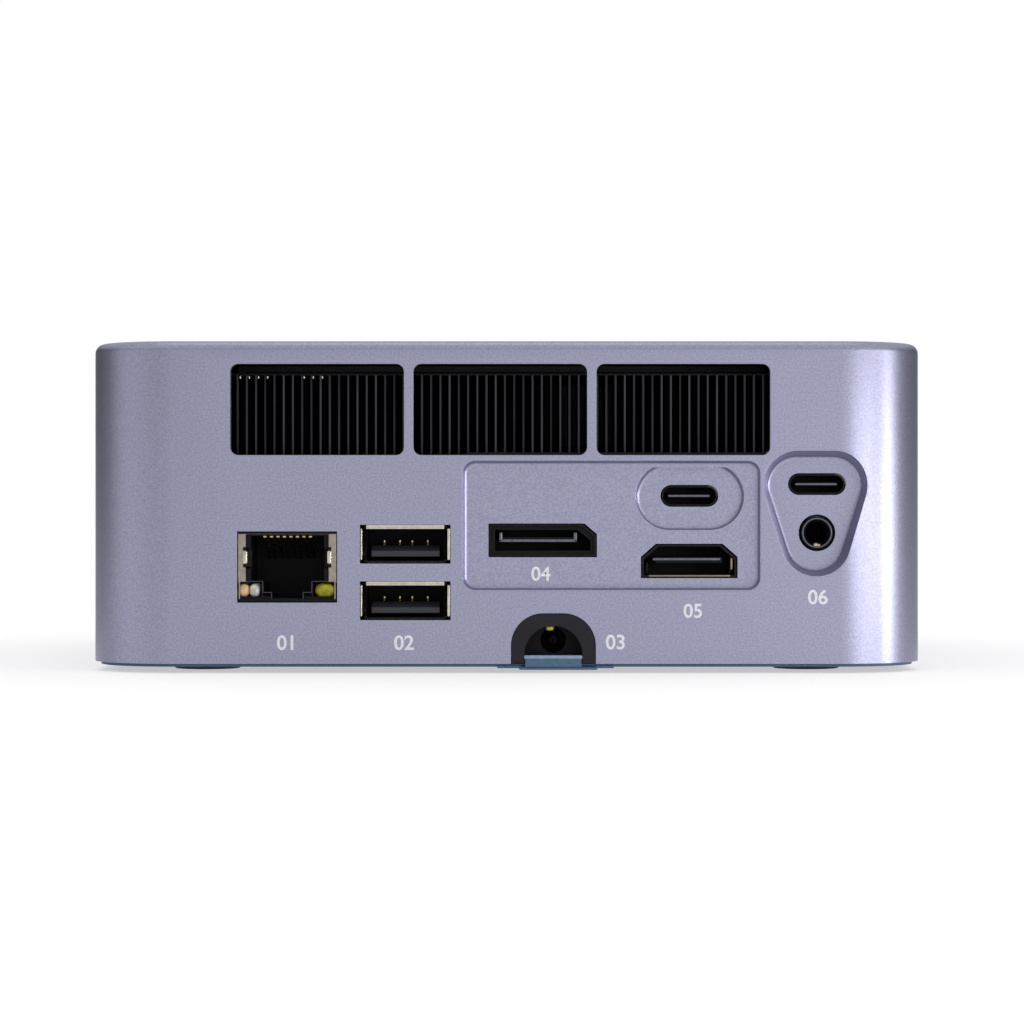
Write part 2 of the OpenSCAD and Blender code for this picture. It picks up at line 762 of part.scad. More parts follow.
// The insulator hangs in the lower half of the shell, with its contacts upwards
module type_a_tongue(x, z) color([0.36, 0.37, 0.39]) {
    inside_w = type_a_shell_w - 2 * sheet_t;
    inside_h = type_a_shell_h - 2 * sheet_t;
    behind_rear(x, z, type_a_back, type_a_deep) square([inside_w, inside_h], center = true);
    behind_rear(x, z, tongue_front, type_a_back + join) translate([-tongue_w / 2, -tongue_low])
        square([tongue_w, tongue_t]);
}

module type_a_contacts(x, z) color([0.9, 0.72, 0.3])
    for (px = contact_xs) behind_rear(x + px, z, contact_front, type_a_back)
        translate([-contact_w / 2, tongue_t - tongue_low]) square([contact_w, contact_t]);

// ---- Display and video sockets ----

socket_front = 0.3;
display_deep = 12;
display_start = panel_deep + socket_front;
display_back = display_deep - 1.5;       // where the insulators fill the shells
insert_end = display_deep - 0.3;
rim_t = 0.6;                             // the display insulator's rim, and its tongue's hooks
display_tongue_w = 12.6;
display_tongue_off = 0.7;                // the tongue lies to the side of the middle
display_tongue_t = 0.75;
display_hook_h = 1.6;
display_foot_w = 14;
video_tongue_w = 10.8;
video_tongue_t = 0.95;
video_foot_w = 9;
spring_x = 6.75;
spring_w = 0.4;
spring_h = 1.6;
foot_start = 5;                          // the shells' feet up to the board start here

module display_shell() color([0.16, 0.16, 0.18]) {
    behind_rear(display_x, display_z, display_start, display_deep) difference() {
        display_outline(-fit);
        display_outline(-fit - sheet_t);
    }
    block(display_x - display_foot_w / 2, display_x + display_foot_w / 2, rear + foot_start,
        rear + display_deep, display_z + display_half_h - fit, board_z);
}

module display_insert() color([0.09, 0.09, 0.1]) {
    low = -0.4;                          // underside of the tongue, from the socket's centre
    behind_rear(display_x, display_z, display_start + 0.4, insert_end) difference() {
        display_outline(-fit - sheet_t);
        display_outline(-fit - sheet_t - rim_t);
    }
    behind_rear(display_x, display_z, display_back, insert_end) display_outline(-fit - 2 * sheet_t);
    behind_rear(display_x - display_tongue_off, display_z + 0.15, display_start + 1, display_back + join) {
        translate([-display_tongue_w / 2, low]) square([display_tongue_w, display_tongue_t]);
        for (x = [-display_tongue_w / 2, display_tongue_w / 2 - rim_t]) translate([x, low])
            square([rim_t, display_hook_h]);
    }
}

module video_shell() color([0.16, 0.16, 0.18]) {
    behind_rear(video_x, video_z, display_start, display_deep) difference() {
        video_outline(-fit);
        video_outline(-fit - sheet_t);
    }
    // Raised foot up to the board
    block(video_x - video_foot_w / 2, video_x + video_foot_w / 2, rear + foot_start,
        rear + display_deep, video_z + video_half_h - fit, board_z);
}

module video_insert() color([0.08, 0.09, 0.1]) {
    behind_rear(video_x, video_z, display_back, insert_end) video_outline(-fit - sheet_t);
    behind_rear(video_x, video_z, display_start + 1, display_back + join)
        translate([-video_tongue_w / 2, -0.35]) square([video_tongue_w, video_tongue_t]);
    // Two springs beside the tongue
    for (s = [-1, 1]) behind_rear(video_x + s * spring_x, video_z, display_start + 1.2, display_back + join)
        translate([-spring_w / 2, -1.9]) square([spring_w, spring_h]);
}

// ---- Type C sockets ----

type_c_deep = 8.6;
type_c_sheet = 0.25;
type_c_tongue_w = 6.7;
type_c_tongue_t = 0.7;
type_c_back = 2.2;                       // length of the insulator behind the tongue
type_c_foot_w = 7;
type_c_foot_start = 3.5;

module type_c_outline(shrink) stadium(type_c_w - 2 * shrink, type_c_h - 2 * shrink);

module type_c_shell(x, z, from) color([0.35, 0.33, 0.31])
    behind_rear(x, z, from, from + type_c_deep) difference() {
        type_c_outline(fit);
        type_c_outline(fit + type_c_sheet);
    }

module type_c_tongue(x, z, from) color([0.1, 0.1, 0.12]) {
    back = from + type_c_deep - type_c_back;
    behind_rear(x, z, back, from + type_c_deep) type_c_outline(fit + type_c_sheet);
    behind_rear(x, z, from + 1.2, back + join)
        square([type_c_tongue_w, type_c_tongue_t], center = true);
}

// The moulded foot between a type C shell and the board
module type_c_foot(x, from, z0, z1) block(x - type_c_foot_w / 2, x + type_c_foot_w / 2,
    rear + from + type_c_foot_start, rear + from + type_c_deep, z0, z1);

// The foot of a shell that stands on the board, where there is room for one
module type_c_base(x, z, from) {
    top = z - type_c_h / 2 + fit;
    if (top > board_top + play) type_c_foot(x, from, board_top, top);
}

module type_c_left_shell() {
    type_c_shell(type_c_left_x, type_c_left_z, c_left_deep + socket_front);
    type_c_base(type_c_left_x, type_c_left_z, c_left_deep);
}

module type_c_right_shell() {
    type_c_shell(audio_x, type_c_right_z, pick_deep + socket_front);
    type_c_base(audio_x, type_c_right_z, pick_deep);
}

module front_type_c_shell() {
    type_c_shell(front_c_x, front_z, socket_front);
    type_c_foot(front_c_x, 0, front_z + type_c_h / 2 - fit - join, board_z);
}

// ---- Audio socket ----

audio_proud = 0.3;                       // how far the neck stands out of the recess's floor
audio_seat = pick_deep + pad_t + 0.4;    // front of the body, behind the wall
audio_back = 1;                          // thickness behind the blind bore
audio_body_w = 6.4;
audio_body_foot = 2.8;                   // from the bore's centre to the body's floor
audio_mouth_r = 2.1;
audio_contact_w = 1;
audio_contact_end = 10;
blade_slot = 0.5;                        // height of the contact's groove, measured into the bore

// The groove or the blade of the contact at the bottom of the bore, just outside the plug's path
module audio_groove(from, height) behind_rear(audio_x, audio_z, from, audio_contact_end)
    translate([-audio_contact_w / 2, -audio_bore_r - 0.35]) square([audio_contact_w, height]);

module audio_body() color([0.1, 0.1, 0.11]) difference() {
    union() {
        on_rear(audio_x, audio_z) translate([0, 0, -audio_seat - join])
            cylinder(r = audio_ring_r, h = audio_seat + join - pick_deep + audio_proud);
        block(audio_x - audio_body_w / 2, audio_x + audio_body_w / 2, rear + audio_seat,
            rear + pick_deep + audio_bore_l + audio_back, audio_z - audio_body_foot, board_z);
    }
    on_rear(audio_x, audio_z) translate([0, 0, -audio_bore_l - pick_deep])
        cylinder(r = audio_bore_r, h = 2 * audio_bore_l);
    on_rear(audio_x, audio_z) translate([0, 0, -pick_deep - audio_proud])
        cylinder(r1 = audio_bore_r, r2 = audio_mouth_r, h = 2 * audio_proud + 0.01);
    audio_groove(pick_deep - over, blade_slot);
}

module audio_contact() color([0.85, 0.8, 0.6]) audio_groove(pick_deep, sheet_t);

// ---- Power inlet ----

collar_deep = 3.5;
collar_start = 0.1;
collar_rim = 1;                          // how much larger the collar is behind the wall
inlet_w = 12;
inlet_top = 8;
inlet_deep = 14;
inlet_back = 2;                          // thickness behind the blind bore
pin_short = 1;                           // how far the pin's tip stays behind the collar
inlet_contact_w = 1.2;
inlet_contact_x = -0.4;                  // the contact lies a little beside the middle
inlet_contact_proud = 1.4;               // how far it reaches into the collar

module inlet_collar() color([0.06, 0.06, 0.07]) difference() {
    union() {
        behind_rear(inlet_x, 0, collar_start, wall_t + fit)
            arch(arch_w - 2 * play, arch_h - play, seat_gap, arch_r - play);
        behind_rear(inlet_x, 0, wall_t + seat_gap, collar_deep)
            arch(arch_w + 2 * collar_rim, arch_h + collar_rim, cover_t + seat_gap, arch_r + collar_rim);
    }
    behind_rear(inlet_x, 0, -over, collar_deep + over)
        arch(throat_w, throat_h, -over, throat_w / 2);
}

module inlet_body() color([0.05, 0.05, 0.06]) difference() {
    slab(inlet_x, rear + (collar_deep + inlet_deep) / 2, inlet_w, inlet_deep - collar_deep,
        cover_t + seat_gap, inlet_top);
    on_rear(inlet_x, inlet_z) translate([0, 0, inlet_back - inlet_deep])
        cylinder(r = inlet_r, h = inlet_deep);
    behind_rear(inlet_x + inlet_contact_x, inlet_z, 0, inlet_deep - inlet_back)
        translate([-inlet_contact_w / 2, inlet_r - join]) square([inlet_contact_w, contact_t + join]);
}

module inlet_pin() color([0.85, 0.85, 0.85]) on_rear(inlet_x, inlet_z)
    translate([0, 0, inlet_back - inlet_deep])
        cylinder(r = pin_r, h = inlet_deep - inlet_back - collar_deep - pin_short);

module inlet_contact() color([0.9, 0.75, 0.2])
    behind_rear(inlet_x + inlet_contact_x, inlet_z, collar_deep - inlet_contact_proud,
        inlet_deep - inlet_back)
        translate([-inlet_contact_w / 2, inlet_r]) square([inlet_contact_w, contact_t]);

// ---- Cooler ----

processor_t = 2;                         // the processor's whole height, die included
carrier_t = 1.2;
carrier_w = 35;
carrier_l = 25;
die_w = 22;
die_l = 12;
plate_w = 44;
ear_w = 6;                               // the cold plate's arms to its screws
ear_t = 1;
cooler_screw_x = 26;
cooler_screw_y = 16;
plate_z = board_top + processor_t;
pipe_z = plate_z + plate_t;
pipe_bend = 10;                          // radius of the heat pipes' middle line
pipe_reach = 16;                         // how far they run past the processor's middle
pipe_step = 1;                           // from the cooler's middle line to the pipe's side
pipe_gap = 0.5;                          // room between a pipe's end and the type C socket
fin_base_t = 0.8;
fin_base_z = pipe_z + pipe_t;
fin_top = vent_top - fin_drop;
fin_fold = 0.5;                          // how far the folded edges stop behind the fins' front
fin_front = max(c_left_deep, pick_deep) + pad_t + 0.4;
fin_n = floor((vent_n * vent_pitch + 0.6) / fin_pitch) + 1;
fin_span = (fin_n - 1) * fin_pitch;
fin_y0 = rear + fin_front;
fin_y1 = fin_y0 + fin_l;
pipe_y = fin_y0 + fin_l / 2;

// Upright fins on a base, each with its top edge folded over to the next
module fin_stack() color([0.34, 0.33, 0.34]) {
    x0 = cool_x - fin_span / 2 - fin_t / 2;
    x1 = x0 + fin_span + fin_t;
    block(x0, x1, fin_y0, fin_y1, fin_base_z, fin_base_z + fin_base_t);
    for (i = [0 : fin_n - 1])
        block(x0 + i * fin_pitch, x0 + i * fin_pitch + fin_t, fin_y0, fin_y1, fin_base_z, fin_top);
    block(x0, x1, fin_y0 + fin_fold, fin_y1, fin_top - fin_t, fin_top);
}

// One of the two heat pipes: out of the cold plate, round a quarter turn and along under the fins
module heat_pipe(side) color([0.78, 0.45, 0.3])
    translate([cool_x, 0, lift + pipe_z]) mirror([side < 0 ? 1 : 0, 0, 0]) {
        start = pipe_w / 2 + pipe_step;
        end = min(fin_span / 2, audio_x - type_c_w / 2 - pipe_gap - cool_x) - pipe_w / 2;
        far_y = cool_y + pipe_reach;
        outer = pipe_bend + pipe_w / 2;
        linear_extrude(pipe_t) {
            translate([start - pipe_w / 2, pipe_y + pipe_bend])
                square([pipe_w, far_y - pipe_y - pipe_bend]);
            translate([start, far_y]) circle(pipe_w / 2);
            translate([start + pipe_bend, pipe_y - pipe_w / 2])
                square([end - start - pipe_bend, pipe_w]);
            translate([end, pipe_y]) circle(pipe_w / 2);
            translate([start + pipe_bend, pipe_y + pipe_bend]) intersection() {
                difference() {
                    circle(outer);
                    circle(pipe_bend - pipe_w / 2);
                }
                translate([-outer - over, -outer - over]) square(outer + over);
            }
        }
    }

module at_cooler_screws() for (sx = [-1, 1], sy = [-1, 1])
    translate([cool_x + sx * cooler_screw_x, cool_y + sy * cooler_screw_y, lift + board_top])
        children();

module cold_plate() color([0.80, 0.48, 0.32]) difference() {
    union() {
        slab(cool_x, cool_y, plate_w, plate_w, plate_z, pipe_z);
        for (sy = [-1, 1]) slab(cool_x, cool_y + sy * cooler_screw_y, 2 * cooler_screw_x + ear_w, ear_w,
            plate_z, plate_z + ear_t);
    }
    at_cooler_screws() cylinder(r = screw_hole_r, h = plate_z - board_top + plate_t);
}

module processor() color([0.12, 0.25, 0.2]) {
    slab(cool_x, cool_y, carrier_w, carrier_l, board_top, board_top + carrier_t);
    slab(cool_x, cool_y, die_w, die_l, board_top + carrier_t - join, plate_z);
}

module cooler_screws() color([0.7, 0.7, 0.72]) at_cooler_screws()
    translate([0, 0, processor_t + ear_t]) mirror([0, 0, 1]) screw(processor_t + ear_t + board_t);

// ---- Fan ----

fan_gap = 0.4;                           // gap over the fins' base
fan_head = 0.8;                          // room between the fan's cover and the case's top
fan_rim = 4;                             // from the rotor's tips to the outside of the casing
fan_z = fin_base_z + fin_base_t + fan_gap;
fan_top = inner_top - fan_head;
fan_r = rotor_r + fan_rim;
fan_mouth = fin_span / 2;
inlet_hole_r = 20.9;                     // the fan's air inlet, smaller than its rotor
spoke_w = 3;
hub_wall = 1.4;
hub_top = fan_top - fan_t - 1;
motor_r = hub_r - hub_wall - 1.2;
motor_seat_t = 1;
motor_core_t = 5;
motor_core_step = 3.5;                   // how much smaller the core is than the seat
pole_n = 6;
pole_z = 1.6;
pole_h = 3.4;
pole_gap = 0.8;                          // how far the poles stop inside the hub's wall
sleeve_t = 1.5;
sleeve_top = hub_top - hub_wall - 0.3;
blade_z = fan_z + fan_t + 1.2;
blade_drop = 0.6;                        // how far the blades stay below the hub's top
blade_lean = 38;                         // how far a blade's tip lags its root, in degrees
blade_root = 0.4;
blade_steps = 5;
brace_l = 5;                             // ring that ties the blades' roots together
brace_t = 0.8;
shaft_foot = 0.7;

// Round casing that widens to the fins
module fan_outline(wall = 0) {
    mouth_y = fin_y1 - cool_y - (wall > 0 ? over : 0);
    circle(fan_r - wall);
    polygon([[wall - fan_r, 0], [wall - fan_mouth, mouth_y], [fan_mouth - wall, mouth_y],
        [fan_r - wall, 0]]);
}

module fan_housing() color([0.09, 0.09, 0.1]) translate([cool_x, cool_y, lift]) {
    difference() {
        translate([0, 0, fan_z]) linear_extrude(fan_top - fan_t - fan_z) fan_outline();
        translate([0, 0, fan_z + fan_t]) linear_extrude(fan_top) fan_outline(fan_t);
        translate([0, 0, fan_z - over]) cylinder(r = inlet_hole_r, h = 2 * over + fan_t);
    }
    // Spokes to the motor's seat
    translate([0, 0, fan_z]) {
        cylinder(r = motor_r, h = fan_t);
        for (a = [45 : 90 : 315]) rotate([0, 0, a]) translate([0, -spoke_w / 2, 0])
            cube([inlet_hole_r + over, spoke_w, fan_t]);
    }
}

module fan_cover() color([0.12, 0.12, 0.13]) translate([cool_x, cool_y, lift + fan_top - fan_t])
    linear_extrude(fan_t) fan_outline();

module fan_motor() color([0.45, 0.3, 0.2]) translate([cool_x, cool_y, lift + fan_z + fan_t])
    difference() {
        union() {
            cylinder(r = motor_r, h = motor_seat_t);
            cylinder(r = shaft_r + shaft_gap + sleeve_t, h = sleeve_top - fan_z - fan_t);
            for (a = [0 : 360 / pole_n : 359]) rotate([0, 0, a])
                translate([0, -spoke_w / 2, pole_z]) cube([motor_r - pole_gap, spoke_w, pole_h]);
            translate([0, 0, motor_seat_t - join])
                cylinder(r = motor_r - motor_core_step, h = motor_core_t);
        }
        translate([0, 0, 0.4]) cylinder(r = shaft_r + shaft_gap, h = fan_top);
    }

// A point on a blade's middle line, from 0 at its root to 1 at its tip
function blade_mid(t) = let (from = hub_r - blade_root, r = from + t * (rotor_r - from),
    a = blade_lean * t * t) r * [cos(a), sin(a)];

module blade() {
    ts = [for (i = [0 : blade_steps]) i / blade_steps];
    side = [for (t = ts) let (a = heading(blade_mid(t - 0.01), blade_mid(t + 0.01)))
        blade_t / 2 * [-sin(a), cos(a)]];
    polygon(concat([for (i = [0 : blade_steps]) blade_mid(ts[i]) + side[i]],
        [for (i = [blade_steps : -1 : 0]) blade_mid(ts[i]) - side[i]]));
}

// A hub cup round the motor, with curved blades from its wall
module impeller() color([0.16, 0.16, 0.18]) translate([cool_x, cool_y, lift]) {
    hub_h = hub_top - blade_z;
    shaft_z = fan_z + fan_t + shaft_foot;
    translate([0, 0, blade_z]) difference() {
        cylinder(r = hub_r, h = hub_h);
        translate([0, 0, -over]) cylinder(r = hub_r - hub_wall, h = hub_h - hub_wall + over);
    }
    translate([0, 0, shaft_z]) cylinder(r = shaft_r, h = hub_top - shaft_z - 0.2);
    translate([0, 0, blade_z]) linear_extrude(hub_h - blade_drop)
        for (i = [0 : blade_n - 1]) rotate(i * 360 / blade_n) blade();
    translate([0, 0, hub_top - blade_drop - brace_t]) difference() {
        cylinder(r = hub_r + brace_l, h = brace_t);
        translate([0, 0, -over]) cylinder(r = hub_r - 0.5, h = brace_t + 2 * over);
    }
}

// ---- Memory, storage and radio ----

memory_side = 41;                        // distance of the memory's middle from the board's side
memory_x = memory_side - board_w / 2;
memory_y = 12;
memory_drops = [4.5, 9.2];               // from the board down to each module
socket_back = 5;                         // the memory socket, behind and before the modules' edge
socket_lap = 3;
socket_rim = 2.2;                        // how far the memory socket reaches past the modules' sides
socket_w = memory_w + 2 * socket_rim;
socket_drop = 11;
arm_w = 1.6;
arm_l = 26;
memory_chip_n = 4;
memory_chip_w = 13;
memory_chip_l = 10;
memory_chip_pitch = 15.5;
memory_chip_y = 11;
memory_chip_t = 1;
card_drop = 3.6;                         // from the board down to the cards' underside
card_z = board_z - card_drop;
card_socket_l = 4;
card_post_r = 2;
card_post_in = 3;
card_chip_rim = 1;
card_chips = [[2, 12, 1.4], [14.4, 25.8, 1.2]]; // start, end and height of the chips on a card
storage_side = 17;                       // from the board's side to the card's middle
storage_deep = 54;                       // from the front face to the card's near end
storage_x = board_w / 2 - storage_side;
storage_y = -rear - storage_deep;
radio_x = -8;
radio_deep = 28;
radio_y = rear + radio_deep;
cell_rim = 1;                            // the holder's rim and its two clips
cell_gap = 2;                            // from the holder to the storage card's socket
cell_x = storage_x;
cell_y = storage_y - card_socket_l - cell_gap - cell_rim - cell_r;
cell_rim_t = 0.3;
clip_w = 3;

module memory_socket() color([0.1, 0.1, 0.11]) difference() {
    low = board_z - socket_drop;
    union() {
        block(memory_x - socket_w / 2, memory_x + socket_w / 2, memory_y - socket_back,
            memory_y + socket_lap, low, board_z);
        for (s = [-1, 1]) slab(memory_x + s * (socket_w - arm_w) / 2, memory_y + arm_l / 2, arm_w, arm_l,
            low, board_z);
    }
    for (d = memory_drops) block(memory_x - memory_w / 2, memory_x + memory_w / 2,
        memory_y, memory_y + arm_l + over, board_z - d - memory_t, board_z - d);
}

module memory_module(drop) color([0.07, 0.2, 0.15]) {
    low = board_z - drop - memory_t;
    block(memory_x - memory_w / 2, memory_x + memory_w / 2, memory_y, memory_y + memory_l,
        low, low + memory_t);
    for (i = [0 : memory_chip_n - 1])
        slab(memory_x + (i - (memory_chip_n - 1) / 2) * memory_chip_pitch, memory_y + memory_chip_y,
            memory_chip_w, memory_chip_l, low - memory_chip_t, low);
}

// A card on a standing socket at its near end and a stand-off at its far end
module plug_in_card(x, y, tint) color(tint) {
    slab(x, y + card_l / 2, card_w, card_l, card_z, card_z + card_t);
    for (c = card_chips) slab(x, y + (c[0] + c[1]) / 2, card_w - 2 * card_chip_rim, c[1] - c[0],
        card_z - c[2], card_z);
    slab(x, y - card_socket_l / 2, card_w, card_socket_l, card_z - 0.6, board_z);
    translate([x, y + card_l - card_post_in, lift + card_z + card_t - join])
        cylinder(r = card_post_r, h = board_z - card_z - card_t + join);
}

module coin_cell() color([0.78, 0.78, 0.8]) {
    holder_r = cell_r + cell_rim;
    low = board_z - card_drop;
    translate([cell_x, cell_y, lift + low]) {
        cylinder(r = cell_r, h = cell_t);
        cylinder(r = holder_r, h = cell_rim_t);
    }
    for (s = [-1, 1]) slab(cell_x + s * (holder_r - cell_rim / 2), cell_y, cell_rim, clip_w,
        low, board_z);
}

// ---- Front ----

button_sink = 0.2;                       // how far the button's face lies behind the front face
flange_t = 0.8;
flange_l = 0.9;                          // how far the flange reaches past the button's side
stem_r = 1.5;
stem_l = 3;
switch_w = 8;
switch_t = 4.2;
switch_drop = 3.2;                       // from the button's middle down to the switch's floor
switch_cup_r = 1.8;
switch_cup_deep = 0.4;
switch_front = wall_t + flange_t + stem_l + button_travel + 0.2;
pipe_l = 8;                              // the lamp's light pipe
pipe_sink = 0.2;
pipe_foot_w = 2.4;
pipe_foot_t = 2;

module power_button() color([0.66, 0.66, 0.74]) front() on_rear(button_x, front_z) {
    back = -wall_t - play;
    translate([0, 0, back]) cylinder(r = button_r, h = -button_sink - back);
    translate([0, 0, back - flange_t]) cylinder(r = button_r + flange_l, h = flange_t);
    translate([0, 0, back - flange_t - stem_l]) cylinder(r = stem_r, h = stem_l);
}

// A side-acting switch under the board, with a shallow cup for the button's stem
module power_switch() color([0.2, 0.2, 0.21]) front() difference() {
    block(button_x - switch_w / 2, button_x + switch_w / 2, rear + switch_front,
        rear + switch_front + switch_t, front_z - switch_drop, board_z);
    on_rear(button_x, front_z) translate([0, 0, -switch_front - switch_cup_deep - 0.2])
        cylinder(r = switch_cup_r, h = over);
}

module lamp_pipe() color([0.9, 0.93, 0.95]) front() {
    x = button_x - lamp_pitch;
    on_rear(x, front_z) translate([0, 0, -pipe_l]) cylinder(r = lamp_r, h = pipe_l - pipe_sink);
    slab(x, rear + pipe_l - 0.5, pipe_foot_w, pipe_foot_t, front_z - 0.5, board_z);
}

upper_case();
bottom_cover();
foot(0);  // foot_1
foot(1);  // foot_2
foot(2);  // foot_3
foot(3);  // foot_4
cover_screws();
motherboard();
board_screws();
net_shell();
net_insert();
net_contacts();
net_lamp(-1, [0.9, 0.85, 0.7]);  // net_lamp_left
net_lamp(1, [0.66, 0.64, 0.15]);  // net_lamp_right
type_a_housing();
type_a_shell(type_a_x, type_a_z);  // type_a_lower_shell
type_a_shell(type_a_x, type_a_z + type_a_pitch);  // type_a_upper_shell
type_a_tongue(type_a_x, type_a_z);  // type_a_lower_tongue
type_a_tongue(type_a_x, type_a_z + type_a_pitch);  // type_a_upper_tongue
type_a_contacts(type_a_x, type_a_z);  // type_a_lower_contacts
type_a_contacts(type_a_x, type_a_z + type_a_pitch);  // type_a_upper_contacts
display_shell();
display_insert();
video_shell();
video_insert();
type_c_left_shell();
type_c_tongue(type_c_left_x, type_c_left_z, c_left_deep + socket_front);  // type_c_left_tongue
type_c_right_shell();
type_c_tongue(audio_x, type_c_right_z, pick_deep + socket_front);  // type_c_right_tongue
audio_body();
audio_contact();
inlet_collar();
inlet_body();
inlet_pin();
inlet_contact();
fin_stack();
heat_pipe(-1);  // heat_pipe_left
heat_pipe(1);  // heat_pipe_right
cold_plate();
processor();
cooler_screws();
fan_housing();
fan_cover();
fan_motor();
impeller();
memory_socket();
memory_module(memory_drops[1]);  // memory_lower
memory_module(memory_drops[0]);  // memory_upper
plug_in_card(storage_x, storage_y, [0.1, 0.12, 0.2]);  // storage_card
plug_in_card(radio_x, radio_y, [0.1, 0.25, 0.15]);  // radio_card
coin_cell();
power_button();
power_switch();
lamp_pipe();
front() type_a_shell(front_a_x, front_z);  // front_type_a_shell
front() type_a_tongue(front_a_x, front_z);  // front_type_a_tongue
front() front_type_c_shell();
front() type_c_tongue(front_c_x, front_z, socket_front);  // front_type_c_tongue
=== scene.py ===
"""A small desktop computer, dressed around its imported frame.

The frame gives every piece its place and size. This script gives the pieces their finishes, rounds
their edges, and adds the fine parts that the frame leaves out: springs, light guides, bezels and
printed numbers. Shapes are worked out in millimetres and put into the meshes in metres.
X runs across the port face, Y from the ports to the front, Z up.
"""

import json
import logging
import math
from dataclasses import dataclass
from enum import Enum
from functools import cache, partial

import bmesh
import bpy
import numpy as np
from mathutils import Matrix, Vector

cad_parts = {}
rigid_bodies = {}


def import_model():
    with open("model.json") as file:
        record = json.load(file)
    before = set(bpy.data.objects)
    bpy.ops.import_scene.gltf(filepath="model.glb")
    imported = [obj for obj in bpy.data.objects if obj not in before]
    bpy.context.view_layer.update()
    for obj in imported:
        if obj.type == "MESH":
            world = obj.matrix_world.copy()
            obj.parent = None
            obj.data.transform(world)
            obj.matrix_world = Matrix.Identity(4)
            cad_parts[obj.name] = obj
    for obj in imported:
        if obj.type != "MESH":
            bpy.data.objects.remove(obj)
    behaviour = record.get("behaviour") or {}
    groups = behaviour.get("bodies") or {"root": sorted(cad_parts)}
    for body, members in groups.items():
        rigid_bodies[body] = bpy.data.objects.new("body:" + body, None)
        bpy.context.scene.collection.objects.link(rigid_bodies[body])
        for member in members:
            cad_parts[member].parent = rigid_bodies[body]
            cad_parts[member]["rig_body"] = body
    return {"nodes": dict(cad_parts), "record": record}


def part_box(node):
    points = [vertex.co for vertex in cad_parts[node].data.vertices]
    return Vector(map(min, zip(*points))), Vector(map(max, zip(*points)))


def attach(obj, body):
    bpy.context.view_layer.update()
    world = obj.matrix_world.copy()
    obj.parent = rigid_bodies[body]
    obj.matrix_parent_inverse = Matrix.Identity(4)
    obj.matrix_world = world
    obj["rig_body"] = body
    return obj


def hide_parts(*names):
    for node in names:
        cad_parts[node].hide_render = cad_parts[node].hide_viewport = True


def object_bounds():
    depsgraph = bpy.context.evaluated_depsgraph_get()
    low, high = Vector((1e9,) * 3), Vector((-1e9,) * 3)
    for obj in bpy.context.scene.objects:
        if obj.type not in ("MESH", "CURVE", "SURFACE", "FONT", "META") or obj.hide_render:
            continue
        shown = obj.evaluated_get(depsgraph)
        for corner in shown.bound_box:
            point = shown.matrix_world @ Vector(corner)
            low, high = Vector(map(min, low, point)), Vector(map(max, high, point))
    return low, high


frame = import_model()
CAD_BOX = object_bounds()
MM = 0.001
CASE = "case"
WHITE = (1.0, 1.0, 1.0, 1.0)
DRAWN_STRETCH = (0.06, 1.0, 1.0)
FIN_STRETCH = (1.0, 0.1, 0.04)
WEAVE_PER_SIZE = 0.32
PATCH_PER_GRAIN = 12
COAT_ROUGHNESS = 0.15
SHARP_DEG = 32.0
log = logging.getLogger("mini_pc")

Node = bpy.types.Node
Socket = bpy.types.NodeSocket
Tree = bpy.types.NodeTree
Piece = bpy.types.Object
Array = np.ndarray
Pair = tuple[float, float]
Triple = tuple[float, float, float]


# ---- Colours and nodes ----


def linear(code: str) -> tuple[float, float, float, float]:
    """Turns an sRGB hex value such as '#a1a2b8' to linear light.

    Args:
        code: six hex digits after a hash.

    Returns:
        Red, green, blue and an alpha of 1.
    """
    steps = [int(code[i:i + 2], 16) / 255 for i in (1, 3, 5)]
    return (*(s / 12.92 if s <= 0.04045 else ((s + 0.055) / 1.055) ** 2.4 for s in steps), 1.0)


def add_node(tree: Tree, kind: str, inputs: dict | None = None, **settings) -> Node:
    """Adds a node to a tree, with its settings and its inputs.

    Args:
        tree: the tree that the node joins.
        kind: Blender's name of the node's class.
        inputs: input name or number to a value, or to the output that feeds it.
        settings: the node's own properties.

    Returns:
        The new node.
    """
    node = tree.nodes.new(kind)
    for name, value in settings.items():
        setattr(node, name, value)
    for key, value in (inputs or {}).items():
        if isinstance(value, Socket):
            tree.links.new(value, node.inputs[key])
        else:
            node.inputs[key].default_value = value
    return node


def maths(tree: Tree, operation: str, first: Socket | float,
          second: Socket | float = 0.0) -> Socket:
    """Adds one Math node and gives its output."""
    return add_node(tree, "ShaderNodeMath", {0: first, 1: second}, operation=operation).outputs[0]


def empty_tree(owner: bpy.types.Material | bpy.types.World) -> Tree:
    """Switches on the nodes of a material or a world, and clears them."""
    owner.use_nodes = True
    owner.node_tree.nodes.clear()
    return owner.node_tree


def per_mm(size_mm: float) -> float:
    """Noise scale, on coordinates in metres, whose features are about size_mm wide."""
    return 1.0 / (size_mm * MM)


# ---- Finishes ----


class Grain(Enum):
    """How a surface was made, which sets the pattern that it shows."""

    BLASTED = "round dimples, even in all directions"
    MOULDED = "soft grain of a spark-eroded mould"
    DRAWN = "fine lines along the width"
    STAMPED = "each fin a little lighter or darker than the next"
    TARNISHED = "cloudy patches over fine grain"
    WOVEN = "glass weave under a clear coat"


